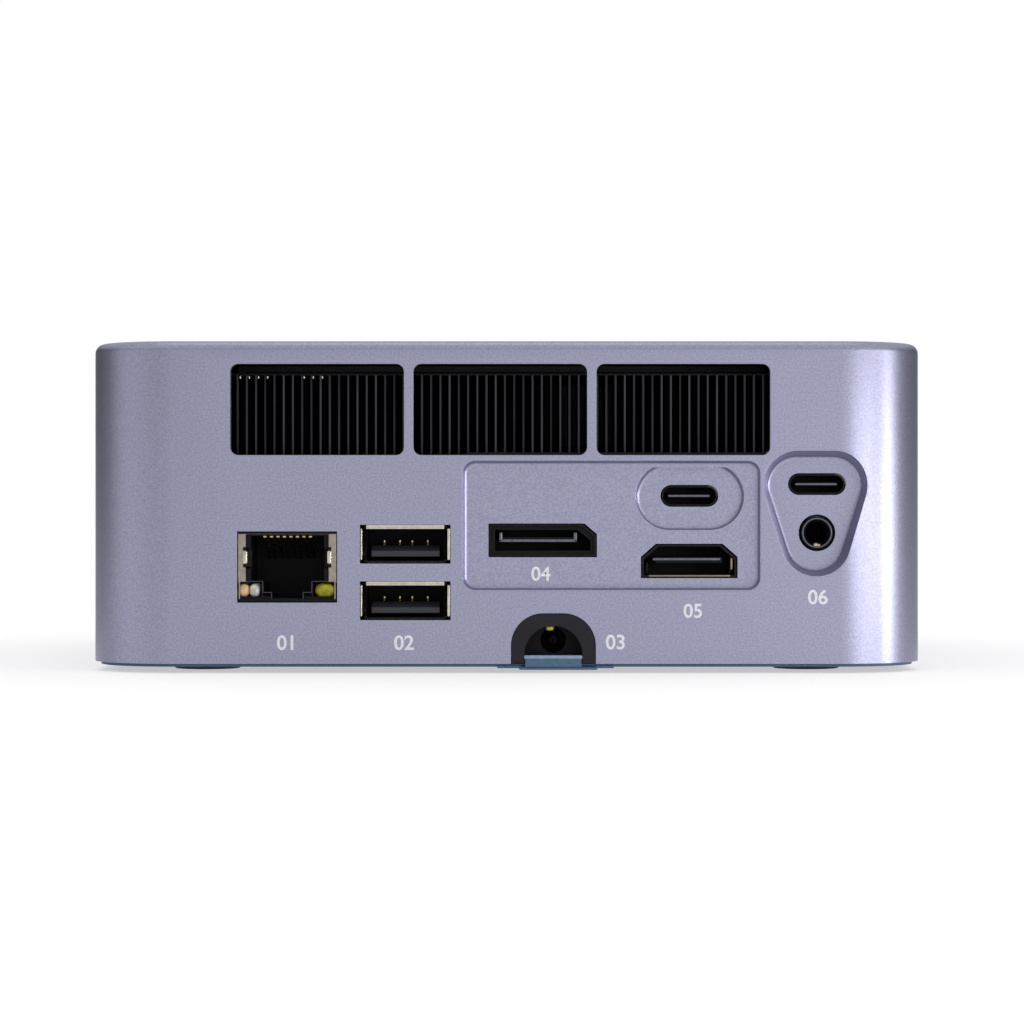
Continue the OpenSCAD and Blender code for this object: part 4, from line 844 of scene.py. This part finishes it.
@dataclass
class NetworkSocket:
    """The network socket: a plated shell, a black insert, eight springs and light guides.

    A guide's pair is its width and its middle's shift from its lamp's left end or middle.
    """

    x: float = -35.1
    springs: int = 8
    pitch: float = 1.04
    spring_w: float = 0.5
    spring_t: float = 0.24
    spring_top: float = 21.98
    spring_span: Pair = (-64.6, -54.0)
    bend: float = -62.9
    bend_r: float = 0.5
    slope: float = 0.4
    amber: Pair = (1.75, 0.58)
    pale: Pair = (1.7, 2.3)
    green: Pair = (3.2, 0.2)
    guide_h: float = 2.1
    guide_round: float = 0.95
    guide_drop: float = 0.05
    guide_rim: float = -64.95
    guide_bulge: float = 0.8
    half: float = 7.85
    strip: float = 1.2
    front: float = -65.86
    lip_l: float = 0.25
    mouth_top: float = 22.78
    lip_hs: Pair = (0.5, 0.42)
    side_w: float = 0.1
    side_top: float = 14.55
    tab_span: Pair = (17.5, 19.6)
    tab_w: float = 0.65
    tab_lap: float = 0.25
    notch: float = 0.42
    notch_h: float = 0.6
    line: float = 0.15
    bezel_xs: Triple = (7.25, 4.0, 2.45)
    ledge_zs: Pair = (14.62, 12.85)
    riser_zs: tuple[Pair, Pair] = ((12.9, 14.7), (11.7, 12.95))
    bezel_span: Pair = (-65.62, -65.3)

    def spring_path(self) -> Array:
        """Path of one spring: level at the front, then down at the slope.

        The height is top - slope * (s + sqrt(s * s + r * r)) / 2 with s the depth behind the
        bend and r its radius, which is a hyperbola between the two straight lines.
        """
        y = np.linspace(*self.spring_span, 28)
        s = y - self.bend
        fall = self.slope * (s + np.sqrt(s * s + self.bend_r ** 2)) / 2
        return np.stack([y, self.spring_top - self.spring_t / 2 - fall], 1)

    def guide(self, name: str, place: Pair, x: float, finish: Finish, slot: str,
              *replaced: str) -> Piece:
        """One light guide with a domed front, given by its pair and the place x of its lamp."""
        width, shift = place
        z = middle_mm("net_lamp_left")[2] - self.guide_drop
        back = box_mm("net_lamp_left")[1][1]
        radius = self.guide_round * min(width, self.guide_h) / 2
        pad = domed_pad(width, self.guide_h, radius, x + shift, z, back, self.guide_rim,
                        self.guide_bulge)
        return build(name, [pad], finish, replaced)

    def inner(self, side: int, start: float, end: float) -> list[float]:
        """Left and right end of a plate by a side strip's inner edge, from start to end inwards."""
        edge = self.x + side * (self.half - self.strip)
        return sorted((edge - start * side, edge - end * side))

    def frame_plates(self) -> list[Array]:
        """The insert's black lip round the mouth, and the notches above and below each tab."""
        low, high = box_mm("net_shell")[0][2], self.mouth_top
        left, right = self.x - self.half, self.x + self.half
        tab_low, tab_high = self.tab_span
        depths = (self.front, self.front + self.lip_l)
        plates = [span_plate(left, right, high - self.lip_hs[0], high, *depths),
                  span_plate(left, right, low, low + self.lip_hs[1], *depths),
                  span_plate(left, left + self.side_w, low, self.side_top, *depths, 0.03),
                  span_plate(right - self.side_w, right, low, self.side_top, *depths, 0.03)]
        for side in (-1, 1):
            ends = self.inner(side, 0.05, -self.notch)
            plates += [span_plate(*ends, tab_low - self.notch_h, tab_low, *depths),
                       span_plate(*ends, tab_high, tab_high + self.notch_h, *depths)]
        return plates

    def tab_plates(self) -> list[Array]:
        """The two bright spring tabs, which lean over the strips' inner edges."""
        return [span_plate(*self.inner(side, self.tab_lap, self.tab_lap - self.tab_w),
                           *self.tab_span, self.front - 0.04, self.front + 0.3, 0.12)
                for side in (-1, 1)]

    def bezel_lines(self) -> list[Array]:
        """Painted highlights: the lit edges of the two stepped housings round the light guides."""
        plates = []
        upper, lower = self.ledge_zs
        for side in (-1, 1):
            outer, step, inner = (self.x + side * reach for reach in self.bezel_xs)
            for a, b, low, high in ((outer, step, upper, upper + self.line),
                                    (step - self.line * side, step, *self.riser_zs[0]),
                                    (step, inner, lower, lower + self.line),
                                    (inner + self.line * side, inner, *self.riser_zs[1])):
                plates.append(span_plate(*sorted((a, b)), low, high, *self.bezel_span, 0.04))
        return plates

    def build(self) -> list[Piece]:
        """Dresses the socket."""
        shifts = (np.arange(self.springs) - (self.springs - 1) / 2) * self.pitch
        path = self.spring_path()
        springs = [bent_strip(path, self.x + shift, self.spring_w, self.spring_t)
                   for shift in shifts]
        left = box_mm("net_lamp_left")[0][0]
        right = middle_mm("net_lamp_right")[0]
        return [
            softened("net_shell", 0.05, DULL_NICKEL, join=False), softened("net_insert", 0.1),
            build("network_lip", self.frame_plates(), BLACK_NYLON),
            build("network_tabs", self.tab_plates(), NICKEL),
            build("network_bezel_highlights", self.bezel_lines(), GREY_NYLON_AND_HIGHLIGHT),
            build("network_springs", springs, GOLD, ("net_contacts",)),
            self.guide("network_guide_amber", self.amber, left, AMBER_GUIDE, "lamp_amber",
                       "net_lamp_left"),
            self.guide("network_guide_pale", self.pale, left, PALE_GUIDE, "lamp_amber"),
            self.guide("network_guide_green", self.green, right, GREEN_GUIDE, "lamp_green",
                       "net_lamp_right"),
        ]


@dataclass
class TypeASocket:
    """A type A socket: its shell with flared edges, a chamfered tongue and four springs.

    Names in _l are lengths along the socket. Outward is -1 on the ports' side, 1 on the front.
    tip is a spring's tip across, upwards and at its corners; tip_form its back, rim and bulge.
    """

    stem: str
    outward: int = -1
    tongue_w: float = 11.0
    tongue_low: float = 2.05
    tongue_high: float = 0.25
    tongue_edge: float = 0.12
    nose_h: float = 0.95
    slope_l: float = 1.5
    block_l: float = 3.5
    spring_xs: tuple[float, ...] = (-3.5, -1.0, 1.0, 3.5)
    spring_w: float = 0.5
    spring_t: float = 0.2
    lead_l: float = 0.3
    sunk: float = 0.45
    sunk_l: float = 0.5
    crown: float = 0.8
    crown_l: float = 0.5
    crown_at: float = 1.6
    tip: Triple = (0.34, 0.6, 0.15)
    tip_form: Triple = (0.5, 0.2, 0.15)
    tip_sunk: float = 0.1
    tip_at: float = 0.9
    flare_r: float = 0.1
    lip_w: float = 12.5
    lip_h: float = 0.66
    lip_l: float = 0.35
    lip_edge: float = 0.08
    lip_rise: float = 0.08
    lip_lean: float = 0.12
    side_h: float = 5.0
    side_ws: Pair = (0.26, 0.42)
    side_l: float = 0.3
    side_edge: float = 0.06
    side_out: float = 0.05

    def __post_init__(self) -> None:
        """Reads the places of the shell and the tongue from the frame."""
        self.x, _, self.z = middle_mm(self.stem + "_shell")
        self.bottom, self.top = self.z - self.tongue_low, self.z - self.tongue_high
        self.front, self.back = depths_mm(self.stem + "_tongue", self.outward)
        self.root_l = abs(self.back - self.front) - self.block_l

    def inwards(self, length: Array | float) -> Array | float:
        """The depth Y at a length behind the tongue's front."""
        return self.front - self.outward * length

    def blade(self) -> Array:
        """The tongue: a bar along X whose section has a chamfered nose."""
        root = self.inwards(self.root_l + 0.1)
        section = np.array([
            [self.front, self.bottom], [root, self.bottom], [root, self.top],
            [self.inwards(self.slope_l), self.top], [self.front, self.bottom + self.nose_h]])
        ends = self.x + np.array([-0.5, 0.5]) * self.tongue_w
        return np.concatenate([np.broadcast_to(ends[:, None, None], (2, 5, 1)),
                               np.broadcast_to(section, (2, 5, 2))], -1)

    def block(self) -> Array:
        """The insulator's thick root, from the back of the socket to the blade."""
        low, high = box_mm(self.stem + "_tongue")
        x, _, z = (low + high) / 2
        outline = round_outline(high[0] - low[0], high[2] - low[2], 0.3)
        return np.stack([facing(outline, x, y, z) for y in (self.back, self.inwards(self.root_l))])

    def springs(self) -> list[Array]:
        """The springs on the tongue, with crowns, sunk front ends and domed tips.

        At the length s behind the slope a spring stands crown * exp(-((s - crown_at) / crown_l)^2)
        over the tongue, less sunk * exp(-((s + lead_l) / sunk_l)^2).
        """
        s = np.linspace(-self.lead_l, self.root_l - self.slope_l, 30)
        swell = self.crown * np.exp(-((s - self.crown_at) / self.crown_l) ** 2)
        drop = self.sunk * np.exp(-((s + self.lead_l) / self.sunk_l) ** 2)
        path = np.stack([self.inwards(s + self.slope_l),
                         self.top + self.spring_t / 2 + swell - drop], 1)
        strips = [bent_strip(path, self.x + shift, self.spring_w, self.spring_t)
                  for shift in self.spring_xs]
        height = self.top + self.crown - self.tip_sunk
        tips = [domed_pad(*self.tip, self.x + shift, height, *self.tip_form)
                for shift in self.spring_xs]
        for tip in tips:
            tip[..., 1] = self.inwards(self.slope_l + self.tip_at + tip[..., 1])
        return strips + tips

    def flares(self) -> list[Array]:
        """The shell's bright edges, in plain nickel where the rest of the shell has painted shade:
        a lip that leans out along the top, and two thin sides.
        """
        high = box_mm(self.stem + "_shell")[1]
        z = high[2] + self.lip_rise - self.lip_h / 2
        lip = soft_plate(self.lip_w, self.lip_h, self.flare_r, self.x, z, self.lip_l, 0.0,
                         self.lip_edge)
        lip[..., 1] -= self.lip_lean * (lip[..., 2] - z) / self.lip_h
        reach = high[0] - self.x + self.side_out
        sides = [soft_plate(width, self.side_h, self.flare_r,
                            self.x + side * (reach - width / 2), self.z, self.side_l, 0.0,
                            self.side_edge) for side, width in zip((-1, 1), self.side_ws)]
        edge = depths_mm(self.stem + "_shell", self.outward)[0]
        for plate in (lip, *sides):
            plate[..., 1] = edge - self.outward * plate[..., 1]
        return [lip, *sides]

    def build(self) -> list[Piece]:
        """Dresses the socket; the frame gives the front one no contacts of its own."""
        stem, contacts = self.stem, self.stem + "_contacts"
        tongue = build(stem + "_blade", [self.blade()], GREY_NYLON_AND_HIGHLIGHT,
                       (stem + "_tongue",))
        bevel(tongue, self.tongue_edge)
        # The type A shell is painted near black: painted shade; only its flares show the plain
        # nickel.
        return [softened(stem + "_shell", 0.06, SHADED_PLATE, join=False), tongue,
                build(stem + "_block", [self.block()], BLACK_NYLON),
                build(stem + "_flares", self.flares(), NICKEL),
                build(stem + "_springs", self.springs(), GOLD,
                      (contacts,) if contacts in frame["nodes"] else ())]


@dataclass
class DisplaySockets:
    """The full-size display and video sockets in their shallow recess.

    A video plate is given by its width, height and centre, and by its depths where they differ.
    """

    grey: float = 0.55
    tongue_x: float = 5.05
    tongue_w: float = 12.56
    tongue_z: float = 21.2
    arm_h: float = 1.65
    video_edge: tuple[float, ...] = (10.96, 0.5, 28.93, 18.22)
    video_lip_highlight: tuple[float, ...] = (13.1, 0.32, 29.35, 15.55, -64.42, -64.0)
    video_spring: tuple[float, ...] = (0.34, 1.9, 36.1, 17.5, -64.2, -60.0)

    def strip(self, width: float, height: float, x: float, z: float, front: float = -63.38,
              back: float = -63.0) -> Array:
        """A small plate with soft edges, in front of the tongues unless its depths are given."""
        edge = 0.3 * min(width, height)
        return soft_plate(width, height, edge, x, z, back, front, edge)

    def build(self) -> list[Piece]:
        """Dresses both sockets."""
        half = (self.tongue_w - self.grey) / 2
        arm_z = self.tongue_z - self.grey / 2 + self.arm_h / 2
        hook = [self.strip(self.tongue_w, self.grey, self.tongue_x, self.tongue_z)]
        hook += [self.strip(self.grey, self.arm_h, self.tongue_x + side * half, arm_z)
                 for side in (-1, 1)]
        return [
            softened("display_shell", 0.05, join=False), softened("display_insert", 0.06),
            softened("video_shell", 0.05, join=False), softened("video_insert", 0.06),
            # The grey strips on the tongues' fronts are painted highlights, as are the tan strips
            # on the video shell's lower lip and its side spring.
            build("display_tongue_edge", hook, GREY_STEEL_AND_HIGHLIGHT),
            build("video_tongue_edge", [self.strip(*self.video_edge)], GREY_STEEL_AND_HIGHLIGHT),
            build("video_lip_highlight", [self.strip(*self.video_lip_highlight)], LIT_PLATE),
            build("video_spring_glint", [self.strip(*self.video_spring)], LIT_PLATE)]


@dataclass
class TypeCSocket:
    """A type C socket: a seamless rim with a painted highlight at its right end, and a thin tongue
    with a plate in its middle.
    """

    stem: str
    outward: int = -1
    plate_w: float = 6.7
    plate_t: float = 0.26
    plate_out: float = 0.05
    root_l: float = 2.4
    glint_r: float = 1.6
    glint_t: float = 0.07
    glint_x: float = 2.95

    def build(self) -> list[Piece]:
        """Dresses the socket from the boxes of its shell and tongue."""
        stem, out = self.stem, self.outward
        x, _, z = middle_mm(stem + "_tongue")
        front, back = depths_mm(stem + "_tongue", out)
        outline = round_outline(self.plate_w, self.plate_t, 0.12)
        plate = np.stack([facing(outline, x, y, z)
                          for y in (back + self.root_l * out, front + self.plate_out * out)])
        edge = depths_mm(stem + "_shell", out)[0]
        # A quarter of a thin tan ring at the rim's right end: painted highlight.
        ring = ring_tube(self.glint_r, self.glint_t, x + self.glint_x, edge, z)
        quarter = ring[:len(ring) // 4 + 1]
        return [softened(stem + "_shell", 0.06), softened(stem + "_tongue", 0.1),
                build(stem + "_rub", [quarter], LIT_PLATE),
                build(stem + "_plate", [plate], GREY_STEEL_AND_HIGHLIGHT)]


@dataclass
class AudioSocket:
    """The round audio socket: a black neck with a grey ring in its lip, a painted highlight where
    the lip catches the light.
    """

    ring_r: float = 2.32
    ring_t: float = 0.16
    ring_z: float = 2.8
    tip: Triple = (0.9, 0.5, 0.2)
    tip_z: float = 0.3
    tip_depths: Pair = (2.5, 1.6)

    def build(self) -> list[Piece]:
        """Dresses the socket."""
        low, contact_low = box_mm("audio_body")[0], box_mm("audio_contact")[0]
        x = middle_mm("audio_contact")[0]
        ring = ring_tube(self.ring_r, self.ring_t, x, low[1] + 0.02, low[2] + self.ring_z)
        back, rim = contact_low[1] + np.array(self.tip_depths)
        tip = domed_pad(*self.tip, x, contact_low[2] + self.tip_z, back, rim, 0.2)
        return [softened("audio_body", 0.08),
                build("audio_lip_highlight", [ring], GREY_STEEL_AND_HIGHLIGHT, closed=True),
                build("audio_spring_tip", [tip], GOLD)]


@dataclass
class PowerInlet:
    """The round power inlet in its arched collar, and the cover's edge below it."""

    collar_edge: float = 0.3
    tip: tuple[float, ...] = (1.4, 1.0, 0.45, 6.96, 7.2)
    tip_depths: Pair = (1.2, 0.3)
    edge_span: Pair = (2.75, 12.2)
    edge_z: Pair = (2.3, 2.85)
    step_spans: tuple[Pair, ...] = ((-1.5, 17.2), (2.0, 14.6))
    step_lows: tuple[float, ...] = (0.78, 0.52)
    step_top: float = 1.2
    step_depths: Pair = (0.3, 14.0)

    def build(self) -> list[Piece]:
        """Dresses the inlet: the spring's tip is a small dome at the throat's top."""
        low, high = box_mm("inlet_contact")
        x, _, z = (low + high) / 2
        back, rim = low[1] + np.array(self.tip_depths)
        tip = domed_pad(*self.tip, back, rim, 0.35)
        y = np.linspace(low[1] + 0.8, high[1], 12)
        blade = bent_strip(np.stack([y, np.full_like(y, z)], 1), x, high[0] - low[0],
                           high[2] - low[2])
        return [softened("inlet_collar", self.collar_edge, COLLAR_NYLON, segments=3),
                # The inlet's pin is painted near black: painted shade.
                softened("inlet_body", 0.1), softened("inlet_pin", 0.15, SHADED_PIN),
                build("inlet_spring", [tip, blade], BRASS, ("inlet_contact",)),
                *self.cover_edges()]

    def cover_edges(self) -> list[Piece]:
        """The cover below the inlet: the pale edge of its tongue, a painted highlight, and its two
        flat steps.
        """
        points = coordinates(frame["nodes"]["bottom_cover"].data) / MM
        left, right = self.edge_span
        near = ((points[:, 0] > left) & (points[:, 0] < right) & (points[:, 1] < 0)
                & (points[:, 2] > self.edge_z[0]))
        front, tongue = points[:, 1].min(), points[near, 1].min()
        edge = span_plate(left, right, *self.edge_z, tongue - 0.04, tongue + 0.25, 0.06)
        depths = front + np.array(self.step_depths)
        steps = [span_plate(*span, low, self.step_top, *depths, 0.15)
                 for span, low in zip(self.step_spans, self.step_lows)]
        return [build("cover_tongue_highlight", [edge], LIT_COVER),
                build("cover_steps", steps, COVER)]


@dataclass
class Cooler:
    """The fin stack behind the windows, with its pipes and its cold plate."""

    fin_edge: float = 0.05
    pipe_edge: float = 0.9
    fold_h: float = 0.32
    pitch: float = 1.476
    first_x: float = -43.04
    glints: tuple[int, ...] = (0, 1, 2, 3, 7, 8, 9)
    glint_half: float = 0.11
    glint_drops: Pair = (0.85, 0.4)
    seal: tuple[float, ...] = (-6.5, 41.7, 34.75, 35.35, -64.28, -64.18)

    def build(self) -> list[Piece]:
        """Rounds the edges, and adds a black strip over the fins' fold as painted shade, painted
        glints on the tops of some fins, and a dark seal.
        """
        low, high = box_mm("fin_stack")
        slot, front, top = SLOTS["fin_stack"], low[1], high[2]
        # A black strip over the fins' fold: painted shade along the top of the fins.
        fold = span_plate(low[0], high[0], top - self.fold_h, top, front - 0.06, front + 0.3)
        # Small nickel plates on the tops of some fins: painted glints.
        heights = top - np.array(self.glint_drops)
        glints = [span_plate(x - self.glint_half, x + self.glint_half, *heights, front - 0.1,
                            front + 0.1) for x in self.first_x + self.pitch * np.array(self.glints)]
        return [build("fin_fold", [fold], BLACK_NYLON),
                build("vent_seal", [span_plate(*self.seal, 0.03)], BLACK_NYLON),
                build("fin_painted_glints", glints, NICKEL),
                softened("fin_stack", self.fin_edge, segments=1),
                softened("heat_pipe_left", self.pipe_edge, segments=4),
                softened("heat_pipe_right", self.pipe_edge, segments=4),
                softened("cold_plate", 0.2), softened("cooler_screws", 0.06)]


@dataclass
class FrontSide:
    """The side with the power button, the lamp and two sockets."""

    button_edge: float = 0.35
    lamp_edge: float = 0.2

    def build(self) -> list[Piece]:
        """Dresses the front."""
        return [softened("power_button", self.button_edge, segments=3),
                softened("lamp_pipe", self.lamp_edge, segments=3),
                *TypeASocket("front_type_a", 1).build(), *TypeCSocket("front_type_c", 1).build()]


# ---- Studio ----


@dataclass
class Studio:
    """A white room with dark screens behind the object, two soft lamps, a floor and the camera.

    The room's level is a curve over the azimuth, 0 before the port face, times one over the
    height, plus one for overhead. Stops are angles in degrees and grey levels.
    """

    fill: float = 0.85
    floor_grey: float = 0.6
    floor_lift: float = 1.02
    floor_least: float = 0.15
    lamps: tuple[tuple, ...] = (("key", (0.3, -0.36, 0.028), (0.25, 0.05), 0.3),
                                ("side_strip", (0.5, -0.19, 0.028), (0.08, 0.05), 0.4))
    lamp_target_z: float = 0.026
    floor_size: float = 8.0
    camera_mm: Triple = (0.88, -500.0, 25.8)
    lens: float = 109.9
    sensor: float = 36.0
    clip: Pair = (0.01, 20.0)
    azimuths: tuple[Pair, ...] = (
        (-180, 0.9), (-165, 0.8), (-150, 0.02), (-114, 0.02), (-102, 0.05), (-90, 0.8), (-76, 1.4),
        (-52, 1.3), (-32, 0.95), (-16, 0.9), (0, 1.7), (18, 1.55), (36, 1.25), (52, 1.5),
        (78, 1.55), (89, 0.5), (97, 0.02), (112, 0.02), (150, 0.02), (165, 0.8), (180, 0.9))
    low_room: tuple[Pair, ...] = (
        (-90, 1.0), (-3, 1.05), (5, 0.7), (12, 0.35), (30, 0.1), (90, 0.0))
    overhead: tuple[Pair, ...] = (
        (-90, 0.0), (12, 0.0), (32, 0.75), (70, 0.8), (80, 1.6), (90, 1.6))

    def ramp(self, tree: Tree, angle: Socket, stops: tuple[Pair, ...]) -> Socket:
        """A curve of grey levels over an angle.

        Args:
            tree: the tree that the curve joins.
            angle: in radians.
            stops: angle in degrees and level, upwards, as far below zero as above it.

        Returns:
            The level.
        """
        reach = stops[-1][0]
        share = add_node(tree, "ShaderNodeMapRange", {
            "Value": angle, "From Min": -math.radians(reach), "From Max": math.radians(reach)})
        node = add_node(tree, "ShaderNodeValToRGB", {"Fac": share.outputs[0]})
        elements = node.color_ramp.elements
        while len(elements) < len(stops):
            elements.new(0.5)
        for element, (degrees, _) in zip(elements, stops):
            element.position = (degrees + reach) / (2 * reach)
        for element, (_, level) in zip(elements, stops):
            element.color = (level, level, level, 1)
        return node.outputs[0]

    def around(self, tree: Tree, source: str) -> tuple[Socket, Socket]:
        """The room's level at the azimuth of the named texture coordinates, and their height Z."""
        place = add_node(tree, "ShaderNodeSeparateXYZ", {
            0: add_node(tree, "ShaderNodeTexCoord").outputs[source]}).outputs
        azimuth = maths(tree, "ARCTAN2", place["X"], maths(tree, "MULTIPLY", place["Y"], -1.0))
        return self.ramp(tree, azimuth, self.azimuths), place["Z"]

    def room(self) -> None:
        """The world: white to the camera, a white room with screens to metal, an even fill else."""
        world = bpy.data.worlds.new("studio")
        bpy.context.scene.world = world
        tree = empty_tree(world)
        rays = add_node(tree, "ShaderNodeLightPath").outputs
        walls, up = self.around(tree, "Generated")
        height = maths(tree, "ARCSINE", up)
        walls = maths(tree, "MULTIPLY", walls, self.ramp(tree, height, self.low_room))
        level = maths(tree, "ADD", walls, self.ramp(tree, height, self.overhead))
        mirrored = maths(tree, "MAXIMUM", rays["Is Glossy Ray"], rays["Is Transmission Ray"])
        fill, screens, white = (
            add_node(tree, "ShaderNodeBackground", {"Color": WHITE, "Strength": power}).outputs[0]
            for power in (self.fill, level, 1.0))
        metal = add_node(tree, "ShaderNodeMixShader", {0: mirrored, 1: fill, 2: screens})
        seen = add_node(tree, "ShaderNodeMixShader", {
            0: rays["Is Camera Ray"], 1: metal.outputs[0], 2: white})
        add_node(tree, "ShaderNodeOutputWorld", {0: seen.outputs[0]})

    def floor(self) -> None:
        """A wide pale floor, white under a faint shadow; metal sees the screens' feet on it."""
        bpy.ops.mesh.primitive_plane_add(size=self.floor_size, location=(0, 0, CAD_BOX[0].z))
        floor = bpy.context.object
        floor.name = "floor"
        material = bpy.data.materials.new("pale_floor")
        tree = empty_tree(material)
        rays = add_node(tree, "ShaderNodeLightPath").outputs
        seen = maths(tree, "MAXIMUM", rays["Is Camera Ray"], rays["Is Glossy Ray"])
        seen = maths(tree, "MAXIMUM", seen, rays["Is Transmission Ray"])
        level = maths(tree, "MAXIMUM", self.around(tree, "Object")[0], self.floor_least)
        level = maths(tree, "MAXIMUM", rays["Is Camera Ray"], maths(tree, "MINIMUM", level, 1.0))
        lift = maths(tree, "MULTIPLY", maths(tree, "MULTIPLY", seen, level),
                     self.floor_lift - self.floor_grey * self.fill)
        grey = self.floor_grey
        matt = add_node(tree, "ShaderNodeBsdfDiffuse", {"Color": (grey, grey, grey, 1)})
        light = add_node(tree, "ShaderNodeEmission", {"Color": WHITE, "Strength": lift})
        both = add_node(tree, "ShaderNodeAddShader", {0: matt.outputs[0], 1: light.outputs[0]})
        add_node(tree, "ShaderNodeOutputMaterial", {"Surface": both.outputs[0]})
        floor.data.materials.append(material)

    def lamp(self, name: str, place: Triple, size: Pair, power: float) -> None:
        """Adds a rectangular area lamp that looks at the middle of the port face.

        Args:
            name: of the lamp.
            place: in metres.
            size: across and upwards, in metres.
            power: in watts.
        """
        data = bpy.data.lights.new(name, "AREA")
        data.shape = "RECTANGLE"
        data.size, data.size_y = size
        data.energy = power
        item = put(name, data, place)
        item.rotation_mode = "QUATERNION"
        target = Vector((0, CAD_BOX[0].y, self.lamp_target_z))
        item.rotation_quaternion = (target - Vector(place)).to_track_quat("-Z", "Y")

    def camera(self) -> None:
        """A level camera before the port face."""
        data = bpy.data.cameras.new("camera")
        data.lens = self.lens
        data.sensor_width = self.sensor
        data.clip_start, data.clip_end = self.clip
        x, y, z = self.camera_mm
        eye = put("camera", data, (x * MM, CAD_BOX[0].y + y * MM, z * MM))
        eye.rotation_euler = (math.radians(90), 0, 0)
        bpy.context.scene.camera = eye

    def build(self) -> None:
        """Sets up the whole studio."""
        bpy.context.scene.view_settings.view_transform = "Standard"
        self.room()
        self.floor()
        for lamp in self.lamps:
            self.lamp(*lamp)
        self.camera()


def main() -> None:
    """Builds and dresses the pieces in order and reports each."""
    logging.basicConfig(level=logging.INFO, format="%(message)s")
    for name, node in frame["nodes"].items():
        paint(node, SLOT_FINISH[SLOTS[name]])
    for part in (Housing(), Recesses(), Markings(), NetworkSocket(), TypeASocket("type_a_lower"),
                 TypeASocket("type_a_upper"), DisplaySockets(), TypeCSocket("type_c_left"),
                 TypeCSocket("type_c_right"), AudioSocket(), PowerInlet(), Cooler(), FrontSide()):
        for piece in part.build():
            log.info("%s: %s, %d points", type(part).__name__, piece.name, len(piece.data.vertices))
    Studio().build()


if __name__ == "__main__":
    main()
